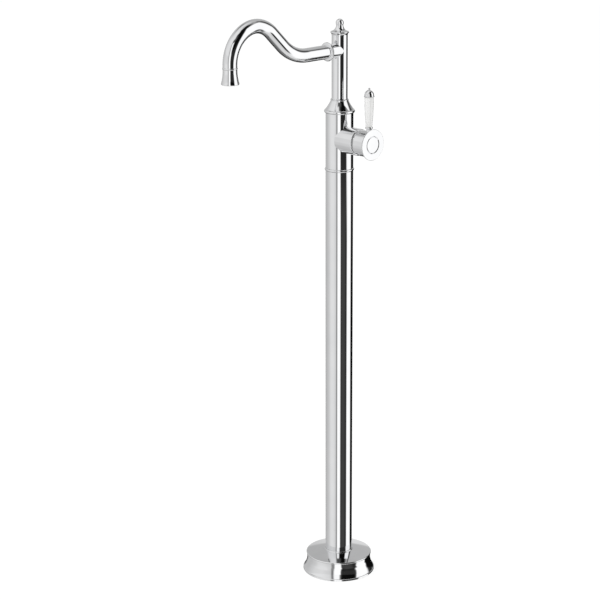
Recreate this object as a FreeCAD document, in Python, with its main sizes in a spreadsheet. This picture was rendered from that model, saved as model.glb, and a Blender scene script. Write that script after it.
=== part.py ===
import FreeCAD, Part
import math
import os
import Sketcher

# Floor standing bath filler: a single-lever mixer on a tall column with a swivelling swan-neck spout.
# Millimetres. +Z is up, the origin lies on the floor at the middle of the foot, the spout points
# along -Y at rest and the handle along +X.

# Driving dimensions, one row each: the name of the cell and its value.
DIMENSIONS = {
    # clearances
    "slip_fit": 0.05,
    "running_fit": 0.08,
    "face_gap": 0.1,
    "free_gap": 0.3,
    "cut_overrun": 1.0,
    # foot casting and its floor fixings
    "foot_radius": 46.0,
    "foot_thickness": 8.0,
    "foot_chamfer": 1.0,
    "boss_radius": 26.0,
    "boss_height": 16.0,
    "spigot_length": 28.0,
    "bolt_circle": 72.0,
    "bolt_hole_radius": 3.5,
    "bolt_count": 4,
    "bolt_start_angle": 45.0,
    "inlet_radius": 9.3,
    "inlet_depth": 11.0,
    "inlet_spacing": 24.0,
    "inlet_set_back": 3.0,
    # column tube and the screws that hold it
    "column_radius": 21.0,
    "column_wall": 1.5,
    "screw_radius": 2.5,
    "screw_length": 5.0,
    "screw_count": 3,
    "screw_above_boss": 8.0,
    # supply pipes
    "pipe_radius": 5.0,
    "pipe_wall": 1.0,
    "pipe_spacing": 19.0,
    "pipe_set_back": 4.0,
    "pipe_socket_depth": 8.0,
    "pipe_nut_width": 14.0,
    "pipe_nut_height": 8.0,
    # base cover
    "cover_foot_radius": 56.9,
    "cover_foot_height": 2.5,
    "cover_step": 0.9,
    "cover_waist_radius": 50.6,
    "cover_waist_height": 20.5,
    "cover_skirt_curve": 36.0,
    "cover_rim_radius": 51.8,
    "cover_rim_swell": 0.8,
    "cover_rim_bottom": 26.7,
    "cover_rim_height": 2.6,
    "cover_dome_rise": 4.3,
    "cover_dome_curve": 214.0,
    "cover_collar_height": 1.7,
    "cover_collar_edge": 0.4,
    "cover_collar_wall": 1.2,
    "cover_wall": 1.2,
    "cover_seal_section": 1.0,
    # bead between column and mixer body
    "joint_ring_height": 4.0,
    "joint_ring_swell": 1.4,
    # mixer body: the axis of the handle is the height from which the others follow
    "handle_height": 706.0,
    "handle_above_column": 49.0,
    "body_spigot_length": 16.0,
    "body_spigot_wall": 2.9,
    "body_floor": 10.0,
    "body_floor_drop": 1.0,
    "branch_wall": 2.0,
    "branch_lip": 1.95,
    "branch_thread_length": 15.0,
    "branch_thread_step": 1.0,
    "chamber_floor": 3.0,
    "waterway_radius": 3.5,
    "riser_socket_wall": 1.4,
    "riser_socket_depth": 21.0,
    "bonnet_thread_radius": 17.5,
    "bonnet_thread_depth": 8.0,
    "outlet_set_back": 6.5,
    # shoulder bonnet
    "shoulder_overhang": 0.6,
    "shoulder_bead_height": 5.0,
    "shoulder_bead_swell": 1.8,
    "bonnet_cone_height": 13.8,
    "bonnet_mouth_wall": 0.8,
    "bonnet_lip_swell": 0.8,
    "bonnet_lip_cove": 0.5,
    "bonnet_lip_height": 1.8,
    "bonnet_lip_edge": 0.6,
    "bonnet_wall": 2.15,
    "bonnet_bore_top": 10.0,
    # bearings of the riser
    "thrust_washer_height": 1.2,
    "riser_flange_height": 2.7,
    "bush_clearance": 0.1,
    # riser
    "riser_radius": 12.0,
    "riser_wall": 3.5,
    "riser_above_spout": 22.5,
    "riser_cove": 0.7,
    "riser_cove_height": 1.8,
    "riser_cove_curve": 2.5,
    "riser_seal_section": 1.15,
    "riser_seal_first": 3.8,
    "riser_seal_pitch": 4.6,
    "seal_groove_depth": 2.35,
    "seal_groove_play": 0.15,
    # spout
    "spout_rise": 94.5,
    "spout_radius": 10.5,
    "spout_wall": 1.2,
    "spout_reach": 220.0,
    "spout_level_end": 68.6,
    "rise_curve": 72.0,
    "rise_angle": 43.7,
    "crest_curve": 44.0,
    "crest_turn": 59.3,
    "drop_curve": 51.0,
    "outlet_drop": 0.3,
    "stub_end": 23.6,
    "stub_root_radius": 11.8,
    "stub_spigot_length": 9.6,
    "stub_bore_radius": 6.5,
    "stub_seal_section": 0.8,
    "stub_seal_place": 7.6,
    "stub_groove_radius": 1.6,
    "collar_width": 4.8,
    "collar_side_step": 1.7,
    "collar_swell": 2.0,
    # outlet
    "outlet_ring_height": 2.4,
    "outlet_ring_swell": 0.8,
    "bell_height": 22.0,
    "bell_radius": 13.1,
    "bell_lip": 0.9,
    "bell_land": 0.9,
    "bell_neck_length": 3.0,
    "bell_flare_curve": 62.0,
    "bell_spigot_length": 5.0,
    "bell_passage_radius": 6.8,
    "aerator_radius": 10.2,
    "aerator_height": 6.2,
    "aerator_set_in": 0.8,
    "aerator_washer_height": 1.0,
    "aerator_hole_radius": 1.1,
    "aerator_hole_circle": 12.0,
    "aerator_hole_count": 8,
    # finial on the riser, from the bottom upwards
    "finial_spigot_length": 8.0,
    "finial_cove_height": 3.2,
    "finial_cove_curve": 4.2,
    "finial_overhang": 2.0,
    "finial_flange_height": 2.2,
    "finial_flange_swell": 0.5,
    "finial_slope_height": 2.0,
    "finial_cone_radius": 8.9,
    "finial_cone_height": 7.0,
    "finial_cone_curve": 13.0,
    "finial_neck_radius": 5.2,
    "finial_neck_length": 0.8,
    "finial_ball_radius": 6.0,
    # cartridge, from the chamber's floor outwards along the branch
    "cartridge_radius": 17.3,
    "cartridge_wall": 2.3,
    "cartridge_front_wall": 1.2,
    "cartridge_base_length": 9.8,
    "cartridge_neck_length": 7.0,
    "cartridge_neck_set_in": 4.3,
    "cartridge_neck_wall": 2.0,
    "port_seal_length": 1.2,
    "port_seal_wall": 1.6,
    "port_set_in": 7.5,
    "disc_port_margin": 0.5,
    "ceramic_thickness": 3.5,
    "mixing_recess_radius": 6.3,
    "mixing_recess_depth": 1.5,
    "driver_travel_room": 4.1,
    "driver_overhang": 0.4,
    "driver_thickness": 4.0,
    "driver_half_width": 8.0,
    "driver_play": 0.15,
    "carrier_flange_room": 1.5,
    "carrier_flange_thickness": 2.2,
    "carrier_nose": 4.0,
    "nut_thickness": 4.0,
    "pivot_from_shoulder": 4.0,
    "pivot_pin_radius": 1.45,
    "tilt_limit": 20.0,
    # polished dome behind the handle
    "dome_wall": 1.2,
    "dome_mouth_radius": 11.2,
    "dome_seat_gap": 1.0,
    # stem
    "stem_width": 7.0,
    "stem_tail": 4.5,
    "stem_root": 1.0,
    "stem_neck_radius": 1.8,
    "stem_ball_radius": 2.4,
    "stem_ball_depth": 2.45,
    # handle hub, from the branch outwards
    "hub_gap": 2.8,
    "hub_step": 0.8,
    "hub_wall": 1.3,
    "hub_edge": 0.5,
    "hub_boss_set_in": 9.2,
    "hub_boss_radius": 8.0,
    "hub_boss_grip": 8.0,
    "hub_web": 2.2,
    "hub_front_wall": 3.0,
    "hub_flare": 1.9,
    "hub_flare_length": 4.0,
    "hub_flare_curve": 6.0,
    "hub_screw_radius": 2.0,
    "hub_screw_length": 4.3,
    "hub_screw_set_in": 4.0,
    "face_overhang": 2.1,
    "face_thickness": 1.5,
    "face_edge_swell": 0.7,
    "face_spigot_radius": 6.0,
    "face_spigot_length": 2.6,
    "button_radius": 11.8,
    "button_gap": 0.2,
    "button_recess": 0.5,
    "button_rise": 0.25,
    # lever, from its seat on the hub upwards
    "lever_set_in": 6.0,
    "lever_seat_depth": 0.5,
    "neck_foot_radius": 4.4,
    "neck_foot_height": 0.9,
    "neck_waist_radius": 3.6,
    "neck_waist_height": 2.0,
    "neck_waist_curve": 2.6,
    "neck_collar_radius": 5.3,
    "neck_collar_flare": 2.0,
    "neck_collar_height": 2.6,
    "neck_collar_swell": 0.4,
    "grip_washer_height": 0.4,
    "grip_washer_inset": 0.3,
    "grip_length": 44.5,
    "grip_foot_radius": 4.8,
    "grip_head_radius": 6.8,
    "grip_curve": 420.0,
    "grip_edge": 0.6,
    "tip_flange_radius": 8.0,
    "tip_flange_height": 1.3,
    "tip_flange_swell": 0.35,
    "tip_dome_radius": 7.1,
    "tip_dome_height": 9.3,
    "tip_dome_curve": 8.1,
    "tip_neck_radius": 0.9,
    "tip_neck_length": 0.25,
    "tip_ball_radius": 1.4,
    "rod_radius": 2.5,
    "rod_end_gap": 1.25,
    "rod_tip_depth": 6.0,
}

document = FreeCAD.newDocument("bath_filler")
sheet = document.addObject("Spreadsheet::Sheet", "sizes")


class Size:
    """A length, angle or count that knows its value and the expression that gives it."""

    def __init__(self, value, text):
        self.value = value
        self.text = text

    def __add__(self, other):
        return combine(self, "+", other)

    def __radd__(self, other):
        return combine(other, "+", self)

    def __sub__(self, other):
        return combine(self, "-", other)

    def __rsub__(self, other):
        return combine(other, "-", self)

    def __mul__(self, other):
        return combine(self, "*", other)

    def __rmul__(self, other):
        return combine(other, "*", self)

    def __truediv__(self, other):
        return combine(self, "/", other)

    def __rtruediv__(self, other):
        return combine(other, "/", self)

    def __neg__(self):
        return combine(0, "-", self)


def as_size(number):
    if isinstance(number, Size):
        return number
    return Size(float(number), repr(float(number)))


def combine(first, sign, second):
    first = as_size(first)
    second = as_size(second)
    results = {
        "+": lambda a, b: a + b,
        "-": lambda a, b: a - b,
        "*": lambda a, b: a * b,
        "/": lambda a, b: a / b,
    }
    value = results[sign](first.value, second.value)
    return Size(value, "(%s %s %s)" % (first.text, sign, second.text))


def sine(angle):
    return Size(math.sin(math.radians(angle.value)), "sin(%s * 1 deg)" % angle.text)


def cosine(angle):
    return Size(math.cos(math.radians(angle.value)), "cos(%s * 1 deg)" % angle.text)


def root(number):
    return Size(math.sqrt(number.value), "sqrt(%s)" % number.text)


def leg(hypotenuse, other):
    """The third side of a right triangle."""
    return root(hypotenuse * hypotenuse - other * other)


def bulge(chord, rise):
    """Radius of the arc that stands the given rise proud of its chord."""
    return chord * chord / (8 * rise) + rise / 2


size = {}
for row, (name, number) in enumerate(DIMENSIONS.items(), start=1):
    sheet.set("A%d" % row, name)
    sheet.set("B%d" % row, repr(number))
    sheet.setAlias("B%d" % row, name)
    size[name] = Size(float(number), "sizes." + name)
document.recompute()


class Sizes:
    """The driving dimensions by name."""

    def __getattr__(self, name):
        return size[name]


d = Sizes()

parts = {}


def keep(label, thing):
    """Name a finished sub-part."""
    thing.Label = label
    parts[label] = thing
    return thing


def bind(thing, name, number):
    """Set a property and tie it to the sheet."""
    thing.setExpression(name, as_size(number).text)


def place(thing, x=0, y=0, z=0):
    for axis, number in (("x", x), ("y", y), ("z", z)):
        number = as_size(number)
        setattr(thing.Placement.Base, axis, number.value)
        bind(thing, "Placement.Base." + axis, number)


def turn(thing, axis, angle):
    """Turn a piece in place about one of its own axes."""
    thing.Placement.Rotation = FreeCAD.Rotation(FreeCAD.Vector(*axis), angle)


ALONG_X = ((0, 1, 0), 90)
BACK_Y = ((1, 0, 0), 90)
AHEAD_Y = ((1, 0, 0), -90)
X_TO_BACK_Y = ((0, 0, 1), -90)


def new_body(name):
    return document.addObject("PartDesign::Body", name + "_body")


def origin_feature(body, role):
    for feature in body.Origin.OriginFeatures:
        if feature.Role == role:
            return feature
    raise ValueError("no origin feature " + role)


def new_sketch(body, name, plane):
    sketch = body.newObject("Sketcher::SketchObject", name)
    sketch.AttachmentSupport = [(origin_feature(body, plane), "")]
    sketch.MapMode = "FlatFace"
    return sketch


def fix(sketch, kind, first, number):
    """Add a dimension to a sketch and tie it to the sheet."""
    number = as_size(number)
    index = sketch.addConstraint(Sketcher.Constraint(kind, *first, number.value))
    bind(sketch, "Constraints[%d]" % index, number)


def fix_point(sketch, edge, end, x, y):
    """Hold one end of an edge at x, y from the sketch's origin."""
    for kind, number, axis in (("DistanceX", x, -2), ("DistanceY", y, -1)):
        number = as_size(number)
        if number.value == 0:
            sketch.addConstraint(Sketcher.Constraint("PointOnObject", edge, end, axis))
        else:
            fix(sketch, kind, (-1, 1, edge, end), number)


def arc_between(start, end, radius, side):
    """Arc up to a half circle; side 1 has its centre on the left of the way from start to end."""
    chord = end - start
    half = chord.Length / 2
    rise = math.sqrt(max(radius * radius - half * half, 0))
    left = FreeCAD.Vector(-chord.y, chord.x, 0).normalize()
    centre = (start + end) * 0.5 + left * (rise * side)
    first, last = (start, end) if side > 0 else (end, start)
    first_angle = math.atan2(first.y - centre.y, first.x - centre.x)
    last_angle = math.atan2(last.y - centre.y, last.x - centre.x)
    circle = Part.Circle(centre, FreeCAD.Vector(0, 0, 1), radius)
    return Part.ArcOfCircle(circle, first_angle, last_angle)


def outline(sketch, corners):
    """Close a chain of lines and arcs through the corners.

    A corner is x, y; the corner at the end of an arc is x, y, radius, side.
    """
    points = [FreeCAD.Vector(as_size(c[0]).value, as_size(c[1]).value, 0) for c in corners]
    edges = []
    ends = []
    for index, corner in enumerate(corners):
        start = points[index - 1]
        end = points[index]
        if len(corner) == 2:
            edges.append(Part.LineSegment(start, end))
            ends.append((1, 2))
        else:
            edges.append(arc_between(start, end, as_size(corner[2]).value, corner[3]))
            ends.append((1, 2) if corner[3] > 0 else (2, 1))
    sketch.addGeometry(edges, False)
    for index, corner in enumerate(corners):
        follower = (index + 1) % len(corners)
        joined = (index, ends[index][1], follower, ends[follower][0])
        sketch.addConstraint(Sketcher.Constraint("Coincident", *joined))
    for index, corner in enumerate(corners):
        fix_point(sketch, index, ends[index][1], corner[0], corner[1])
        if len(corner) > 2:
            fix(sketch, "Radius", (index,), corner[2])


def turned(label, axis, corners):
    """A piece turned on a lathe: its half section spun about the sketch's V or H axis."""
    body = new_body(label)
    sketch = new_sketch(body, label + "_section", "XZ_Plane")
    outline(sketch, corners)
    spin = body.newObject("PartDesign::Revolution", label + "_turning")
    spin.Profile = sketch
    spin.ReferenceAxis = (sketch, [axis])
    spin.Angle = 360
    return keep(label, body)


def cylinder(body, kind, name, radius, length, at, direction=None):
    """Add or bore a round length in a body."""
    feature = body.newObject("PartDesign::%sCylinder" % kind, name)
    bind(feature, "Radius", radius)
    bind(feature, "Height", length)
    if direction:
        turn(feature, *direction)
    place(feature, *at)
    return feature


def bore(body, name, radius, length, at, direction=None):
    return cylinder(body, "Subtractive", name, radius, length, at, direction)


def ring_pattern(body, feature, axis, count):
    """Repeat a feature evenly about one of the body's axes."""
    pattern = body.newObject("PartDesign::PolarPattern", feature.Name + "_ring")
    pattern.Originals = [feature]
    pattern.Axis = (origin_feature(body, axis), [""])
    pattern.Angle = 360
    bind(pattern, "Occurrences", count)
    body.Tip = pattern
    return pattern


def tube(label, outer, inner, length):
    """A plain ring or tube that stands on its own origin."""
    return turned(label, "V_Axis", [(inner, 0), (outer, 0), (outer, length), (inner, length)])


def loose_cylinder(name, radius, length, at, direction=None):
    piece = document.addObject("Part::Cylinder", name)
    bind(piece, "Radius", radius)
    bind(piece, "Height", length)
    if direction:
        turn(piece, *direction)
    place(piece, *at)
    return piece


def seal_ring(name, major, section, at, direction=None):
    """A rubber ring of round section."""
    ring = document.addObject("Part::Torus", name)
    bind(ring, "Radius1", major)
    bind(ring, "Radius2", section)
    if direction:
        turn(ring, *direction)
    place(ring, *at)
    return ring


def group(label, pieces):
    """Like pieces that share one name, each a solid of its own."""
    bundle = document.addObject("Part::Compound", label + "_set")
    bundle.Links = pieces
    return keep(label, bundle)


# Derived places and radii that several pieces share
SIXTY = as_size(60)
column_inside = d.column_radius - d.column_wall
spigot_radius = column_inside - d.slip_fit
spigot_top = d.boss_height + d.spigot_length
screw_height = d.boss_height + d.screw_above_boss
pipe_half = d.pipe_spacing / 2
pipe_channel_radius = d.pipe_radius - d.pipe_wall
pipe_socket_radius = d.pipe_radius + d.slip_fit
cover_rim_seat = d.cover_rim_radius - d.cover_rim_swell
cover_rim_top = d.cover_rim_bottom + d.cover_rim_height
cover_collar_bottom = cover_rim_top + d.cover_dome_rise
cover_collar_inside = d.column_radius + d.face_gap

# along the branch, from the axis of the column
cartridge_start = d.chamber_floor + d.port_seal_length
cartridge_base_end = cartridge_start + d.cartridge_base_length
disc_start = cartridge_base_end + d.ceramic_thickness + d.slip_fit
driver_start = disc_start + d.ceramic_thickness
stem_ball_reach = driver_start + d.stem_ball_depth
carrier_flange_start = cartridge_base_end + 2 * d.ceramic_thickness + d.driver_thickness + d.free_gap
carrier_flange_end = carrier_flange_start + d.carrier_flange_thickness
cartridge_bore_start = carrier_flange_end + d.free_gap
cartridge_shoulder = cartridge_bore_start + d.cartridge_front_wall
cartridge_neck_end = cartridge_shoulder + d.cartridge_neck_length
carrier_end = cartridge_neck_end + d.carrier_nose
pivot_reach = cartridge_shoulder + d.pivot_from_shoulder
dome_start = cartridge_shoulder + d.nut_thickness + d.dome_seat_gap
branch_reach = cartridge_shoulder + d.branch_thread_length
stem_start = pivot_reach - d.stem_tail
hub_start = branch_reach + d.hub_gap
hub_boss_start = hub_start + d.hub_boss_set_in
stem_end = hub_boss_start + d.hub_boss_grip
face_socket_depth = d.face_spigot_length + d.face_gap
hub_end = stem_end + d.face_gap + d.hub_web + face_socket_depth
lever_reach = hub_boss_start + d.lever_set_in

# round the axis of the branch
housing_inside = d.cartridge_radius - d.cartridge_wall
cartridge_neck_radius = d.cartridge_radius - d.cartridge_neck_set_in
cartridge_bore_radius = cartridge_neck_radius - d.cartridge_neck_wall
carrier_flange_radius = housing_inside - d.carrier_flange_room
driver_radius = housing_inside - d.driver_travel_room
port_circle = d.cartridge_radius - d.port_set_in
port_side = port_circle * sine(SIXTY)
port_drop = port_circle * cosine(SIXTY)
branch_thread_radius = d.cartridge_radius + d.branch_thread_step
branch_radius = branch_thread_radius + d.branch_wall
dome_edge = branch_thread_radius - d.slip_fit
dome_radius = root(dome_edge * dome_edge + (branch_reach - pivot_reach) * (branch_reach - pivot_reach))
hub_radius = branch_radius - d.hub_step
hub_rim_radius = hub_radius + d.hub_flare
face_radius = hub_rim_radius + d.face_overhang

# up the column
column_top = d.handle_height - d.handle_above_column
body_bottom = column_top + d.joint_ring_height
body_spigot_bottom = column_top - d.body_spigot_length
body_floor_bottom = column_top - d.body_floor_drop
chamber_radius = d.cartridge_radius + d.free_gap
riser_floor = d.handle_height + chamber_radius + d.riser_socket_wall
body_top = riser_floor + d.riser_socket_depth
bonnet_seat = body_top - d.bonnet_thread_depth
bonnet_outside = d.bonnet_thread_radius - d.slip_fit
bonnet_inside = bonnet_outside - d.bonnet_wall
bonnet_mouth = d.riser_radius + d.free_gap
bonnet_cone_radius = bonnet_mouth + d.bonnet_mouth_wall
bonnet_top = d.shoulder_bead_height + d.bonnet_cone_height + d.bonnet_lip_height
riser_bottom = riser_floor + d.free_gap
riser_bore = d.riser_radius - d.riser_wall
riser_flange_radius = bonnet_inside - d.free_gap
riser_flange_bottom = bonnet_seat + d.thrust_washer_height + d.face_gap
riser_flange_top = riser_flange_bottom + d.riser_flange_height
spout_height = body_top + d.spout_rise
riser_top = spout_height + d.riser_above_spout
outlet_height = spout_height - d.outlet_drop
spout_inside = d.spout_radius - d.spout_wall
spout_spigot = spout_inside - d.slip_fit


# ---------------------------------------------------------------- foot, cover and column

def make_floor_plate():
    """Cast foot: a flange bolted to the floor, a boss with the two inlets and the column's spigot."""
    foot = turned("floor_plate", "V_Axis", [
        (0, 0),
        (d.foot_radius, 0),
        (d.foot_radius, d.foot_thickness - d.foot_chamfer),
        (d.foot_radius - d.foot_chamfer, d.foot_thickness),
        (d.boss_radius, d.foot_thickness),
        (d.boss_radius, d.boss_height),
        (spigot_radius, d.boss_height),
        (spigot_radius, spigot_top),
        (0, spigot_top),
    ])
    for name, side in (("hot", -1), ("cold", 1)):
        port = (-d.inlet_set_back, side * d.inlet_spacing / 2, 0)
        bore(foot, name + "_inlet", d.inlet_radius, d.inlet_depth, port)
        channel = (-d.pipe_set_back, side * pipe_half, 0)
        bore(foot, name + "_channel", pipe_channel_radius, spigot_top, channel)
        socket = (-d.pipe_set_back, side * pipe_half, spigot_top - d.pipe_socket_depth)
        bore(foot, name + "_socket", pipe_socket_radius, d.pipe_socket_depth, socket)
    bolt_x = d.bolt_circle / 2 * cosine(d.bolt_start_angle)
    bolt_y = d.bolt_circle / 2 * sine(d.bolt_start_angle)
    bolt = bore(foot, "bolt_hole", d.bolt_hole_radius, d.foot_thickness, (bolt_x, bolt_y, 0))
    ring_pattern(foot, bolt, "Z_Axis", d.bolt_count)
    depth = d.screw_length + d.slip_fit
    start = (d.column_radius - depth, 0, screw_height)
    screw = bore(foot, "screw_hole", d.screw_radius + d.slip_fit, depth, start, ALONG_X)
    ring_pattern(foot, screw, "Z_Axis", d.screw_count)


def make_base_cover():
    """Spun brass cover: a foot lip, a concave skirt, a beaded rim, a shallow dome and a collar."""
    wall = d.cover_wall
    step_radius = d.cover_foot_radius - d.cover_step
    step_height = d.cover_foot_height + d.cover_step / 2
    collar_outside = cover_collar_inside + d.cover_collar_wall
    collar_top = cover_collar_bottom + d.cover_collar_height
    collar_edge = d.cover_collar_edge
    turned("base_cover", "V_Axis", [
        (d.cover_foot_radius - wall, 0),
        (d.cover_foot_radius, 0),
        (d.cover_foot_radius, d.cover_foot_height),
        (step_radius, step_height),
        (d.cover_waist_radius, d.cover_waist_height, d.cover_skirt_curve, -1),
        (cover_rim_seat, d.cover_rim_bottom),
        (cover_rim_seat, cover_rim_top, bulge(d.cover_rim_height, d.cover_rim_swell), 1),
        (collar_outside, cover_collar_bottom, d.cover_dome_curve, 1),
        (collar_outside, collar_top - collar_edge),
        (collar_outside - collar_edge, collar_top),
        (cover_collar_inside, collar_top),
        (cover_collar_inside, cover_collar_bottom - wall),
        (cover_rim_seat - wall, cover_rim_top - wall, d.cover_dome_curve - wall, -1),
        (d.cover_waist_radius - wall, d.cover_waist_height),
        (step_radius - wall, step_height, d.cover_skirt_curve + wall, 1),
        (d.cover_foot_radius - wall, d.cover_foot_height),
    ])


def make_cover_seal():
    """Rubber ring under the collar, which grips the column and holds the cover down."""
    section = d.cover_seal_section
    height = cover_collar_bottom - d.cover_wall - section - d.free_gap
    ring = seal_ring("cover_seal_ring", cover_collar_inside + section, section, (0, 0, height))
    keep("cover_seal", ring)


def make_column():
    """Polished tube from the foot's boss to the joint ring, and its grub screws."""
    column = tube("column_tube", d.column_radius, column_inside, column_top - d.boss_height)
    place(column, 0, 0, d.boss_height)
    depth = d.column_wall + 2 * d.cut_overrun
    start = (column_inside - d.cut_overrun, 0, d.screw_above_boss)
    hole = bore(column, "tube_screw_hole", d.screw_radius + d.slip_fit, depth, start, ALONG_X)
    ring_pattern(column, hole, "Z_Axis", d.screw_count)
    screws = []
    for index in range(int(d.screw_count.value)):
        angle = index * 360 / d.screw_count
        inner = d.column_radius - d.screw_length
        at = (inner * cosine(angle), inner * sine(angle), screw_height)
        name = "grub_screw_%d" % (index + 1)
        screw = loose_cylinder(name, d.screw_radius, d.screw_length - d.slip_fit, at)
        spin = FreeCAD.Rotation(FreeCAD.Vector(0, 0, 1), angle.value)
        lie = FreeCAD.Rotation(FreeCAD.Vector(0, 1, 0), 90)
        screw.Placement.Rotation = spin.multiply(lie)
        screws.append(screw)
    group("column_screws", screws)


def make_supply_pipes():
    """Hot and cold pipes inside the column, with compression nuts on the foot."""
    bottom = spigot_top - d.pipe_socket_depth + d.free_gap
    top = body_floor_bottom + d.body_floor - d.free_gap
    nuts = []
    for name, side in (("hot", -1), ("cold", 1)):
        y = side * pipe_half
        pipe = tube(name + "_supply_pipe", d.pipe_radius, pipe_channel_radius, top - bottom)
        place(pipe, -d.pipe_set_back, y, bottom)
        hexagon = document.addObject("Part::Prism", name + "_nut_hexagon")
        hexagon.Polygon = 6
        bind(hexagon, "Circumradius", d.pipe_nut_width / 2 / sine(SIXTY))
        bind(hexagon, "Height", d.pipe_nut_height)
        place(hexagon, -d.pipe_set_back, y, spigot_top)
        core = loose_cylinder(
            name + "_nut_bore",
            pipe_socket_radius,
            d.pipe_nut_height,
            (-d.pipe_set_back, y, spigot_top),
        )
        nut = document.addObject("Part::Cut", name + "_nut")
        nut.Base = hexagon
        nut.Tool = core
        nuts.append(nut)
    group("pipe_nuts", nuts)


def make_joint_ring():
    """Bead that hides the joint of column and mixer body."""
    ring = turned("joint_ring", "V_Axis", [
        (column_inside, 0),
        (d.column_radius, 0),
        (d.column_radius, d.joint_ring_height, bulge(d.joint_ring_height, d.joint_ring_swell), 1),
        (column_inside, d.joint_ring_height),
    ])
    place(ring, 0, 0, column_top)


# ---------------------------------------------------------------- mixer body and bonnet

def round_branch_lip(body):
    """Round the outer edge of the branch's mouth."""
    document.recompute()
    branch = body.Tip
    mouth = branch_reach.value
    radius = branch_radius.value
    tolerance = 0.01
    names = []
    for number, edge in enumerate(branch.Shape.Edges, start=1):
        curve = edge.Curve
        box = edge.BoundBox
        at_mouth = max(abs(box.XMin - mouth), abs(box.XMax - mouth)) < tolerance
        if at_mouth and hasattr(curve, "Radius") and abs(curve.Radius - radius) < tolerance:
            names.append("Edge%d" % number)
    fillet = body.newObject("PartDesign::Fillet", "branch_lip_round")
    fillet.Base = (branch, names)
    bind(fillet, "Radius", d.branch_lip)


def make_mixer_body():
    """Casting: an upright barrel, a branch for the cartridge, waterways and the riser's socket."""
    body = turned("mixer_body", "V_Axis", [
        (0, body_floor_bottom),
        (spigot_radius - d.body_spigot_wall, body_floor_bottom),
        (spigot_radius - d.body_spigot_wall, body_spigot_bottom),
        (spigot_radius, body_spigot_bottom),
        (spigot_radius, body_bottom),
        (d.column_radius, body_bottom),
        (d.column_radius, body_top),
        (0, body_top),
    ])
    axis_at = d.handle_height
    cylinder(body, "Additive", "branch", branch_radius, branch_reach, (0, 0, axis_at), ALONG_X)
    round_branch_lip(body)
    chamber_length = cartridge_shoulder - d.chamber_floor
    bore(body, "chamber", chamber_radius, chamber_length, (d.chamber_floor, 0, axis_at), ALONG_X)
    thread_length = branch_reach - cartridge_shoulder
    thread_at = (cartridge_shoulder, 0, axis_at)
    bore(body, "branch_thread", branch_thread_radius, thread_length, thread_at, ALONG_X)
    for name, side in (("hot", -1), ("cold", 1)):
        at = (-d.pipe_set_back, side * pipe_half, body_floor_bottom)
        bore(body, name + "_pipe_socket", pipe_socket_radius, d.body_floor, at)
        rise = axis_at - port_drop - body_floor_bottom
        bore(body, name + "_riser", d.waterway_radius, rise, at)
        port = (-d.pipe_set_back, side * port_side, axis_at - port_drop)
        length = d.pipe_set_back + d.chamber_floor
        bore(body, name + "_port", d.waterway_radius, length, port, ALONG_X)
    outlet = (-d.outlet_set_back, 0, axis_at + port_circle)
    bore(body, "outlet_port", d.waterway_radius, d.outlet_set_back + d.chamber_floor, outlet, ALONG_X)
    rise = riser_floor - axis_at - port_circle + d.cut_overrun
    bore(body, "outlet_riser", d.waterway_radius, rise, outlet)
    socket_radius = d.riser_radius + d.running_fit
    bore(body, "riser_socket", socket_radius, d.riser_socket_depth, (0, 0, riser_floor))
    thread = (0, 0, bonnet_seat)
    bore(body, "bonnet_thread", d.bonnet_thread_radius, d.bonnet_thread_depth, thread)


def make_bonnet():
    """Shoulder bonnet screwed into the body: a bead, a cone and a thin lip round the riser."""
    base = d.bonnet_thread_depth
    shoulder = d.column_radius + d.shoulder_overhang
    bead_top = base + d.shoulder_bead_height
    cone_top = bead_top + d.bonnet_cone_height
    lip_top = base + bonnet_top
    lip_radius = bonnet_cone_radius + d.bonnet_lip_swell
    bonnet = turned("shoulder_bonnet", "V_Axis", [
        (bonnet_inside, 0),
        (bonnet_outside, 0),
        (bonnet_outside, base),
        (shoulder, base),
        (shoulder, bead_top, bulge(d.shoulder_bead_height, d.shoulder_bead_swell), 1),
        (bonnet_cone_radius, cone_top),
        (lip_radius, cone_top + d.bonnet_lip_cove),
        (lip_radius, lip_top - d.bonnet_lip_edge),
        (lip_radius - d.bonnet_lip_edge, lip_top),
        (bonnet_mouth, lip_top),
        (bonnet_mouth, base + d.bonnet_bore_top),
        (bonnet_inside, base + d.bonnet_bore_top),
    ])
    place(bonnet, 0, 0, bonnet_seat)
    washer_outside = bonnet_inside - d.free_gap
    washer = tube("thrust_washer", washer_outside, bonnet_mouth, d.thrust_washer_height)
    place(washer, 0, 0, bonnet_seat)
    bush_bottom = riser_flange_top + d.bush_clearance
    bush_top = bonnet_seat + base + d.bonnet_bore_top
    bush_inside = d.riser_radius + d.running_fit
    bush_outside = bonnet_inside - d.slip_fit
    bush = tube("swivel_bush", bush_outside, bush_inside, bush_top - bush_bottom)
    place(bush, 0, 0, bush_bottom)


# ---------------------------------------------------------------- cartridge

def port_places():
    """Hot, cold and mixed ports of the cartridge, across and above its axis."""
    return (("hot", -port_side, -port_drop), ("cold", port_side, -port_drop), ("mixed", 0, port_circle))


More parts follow.
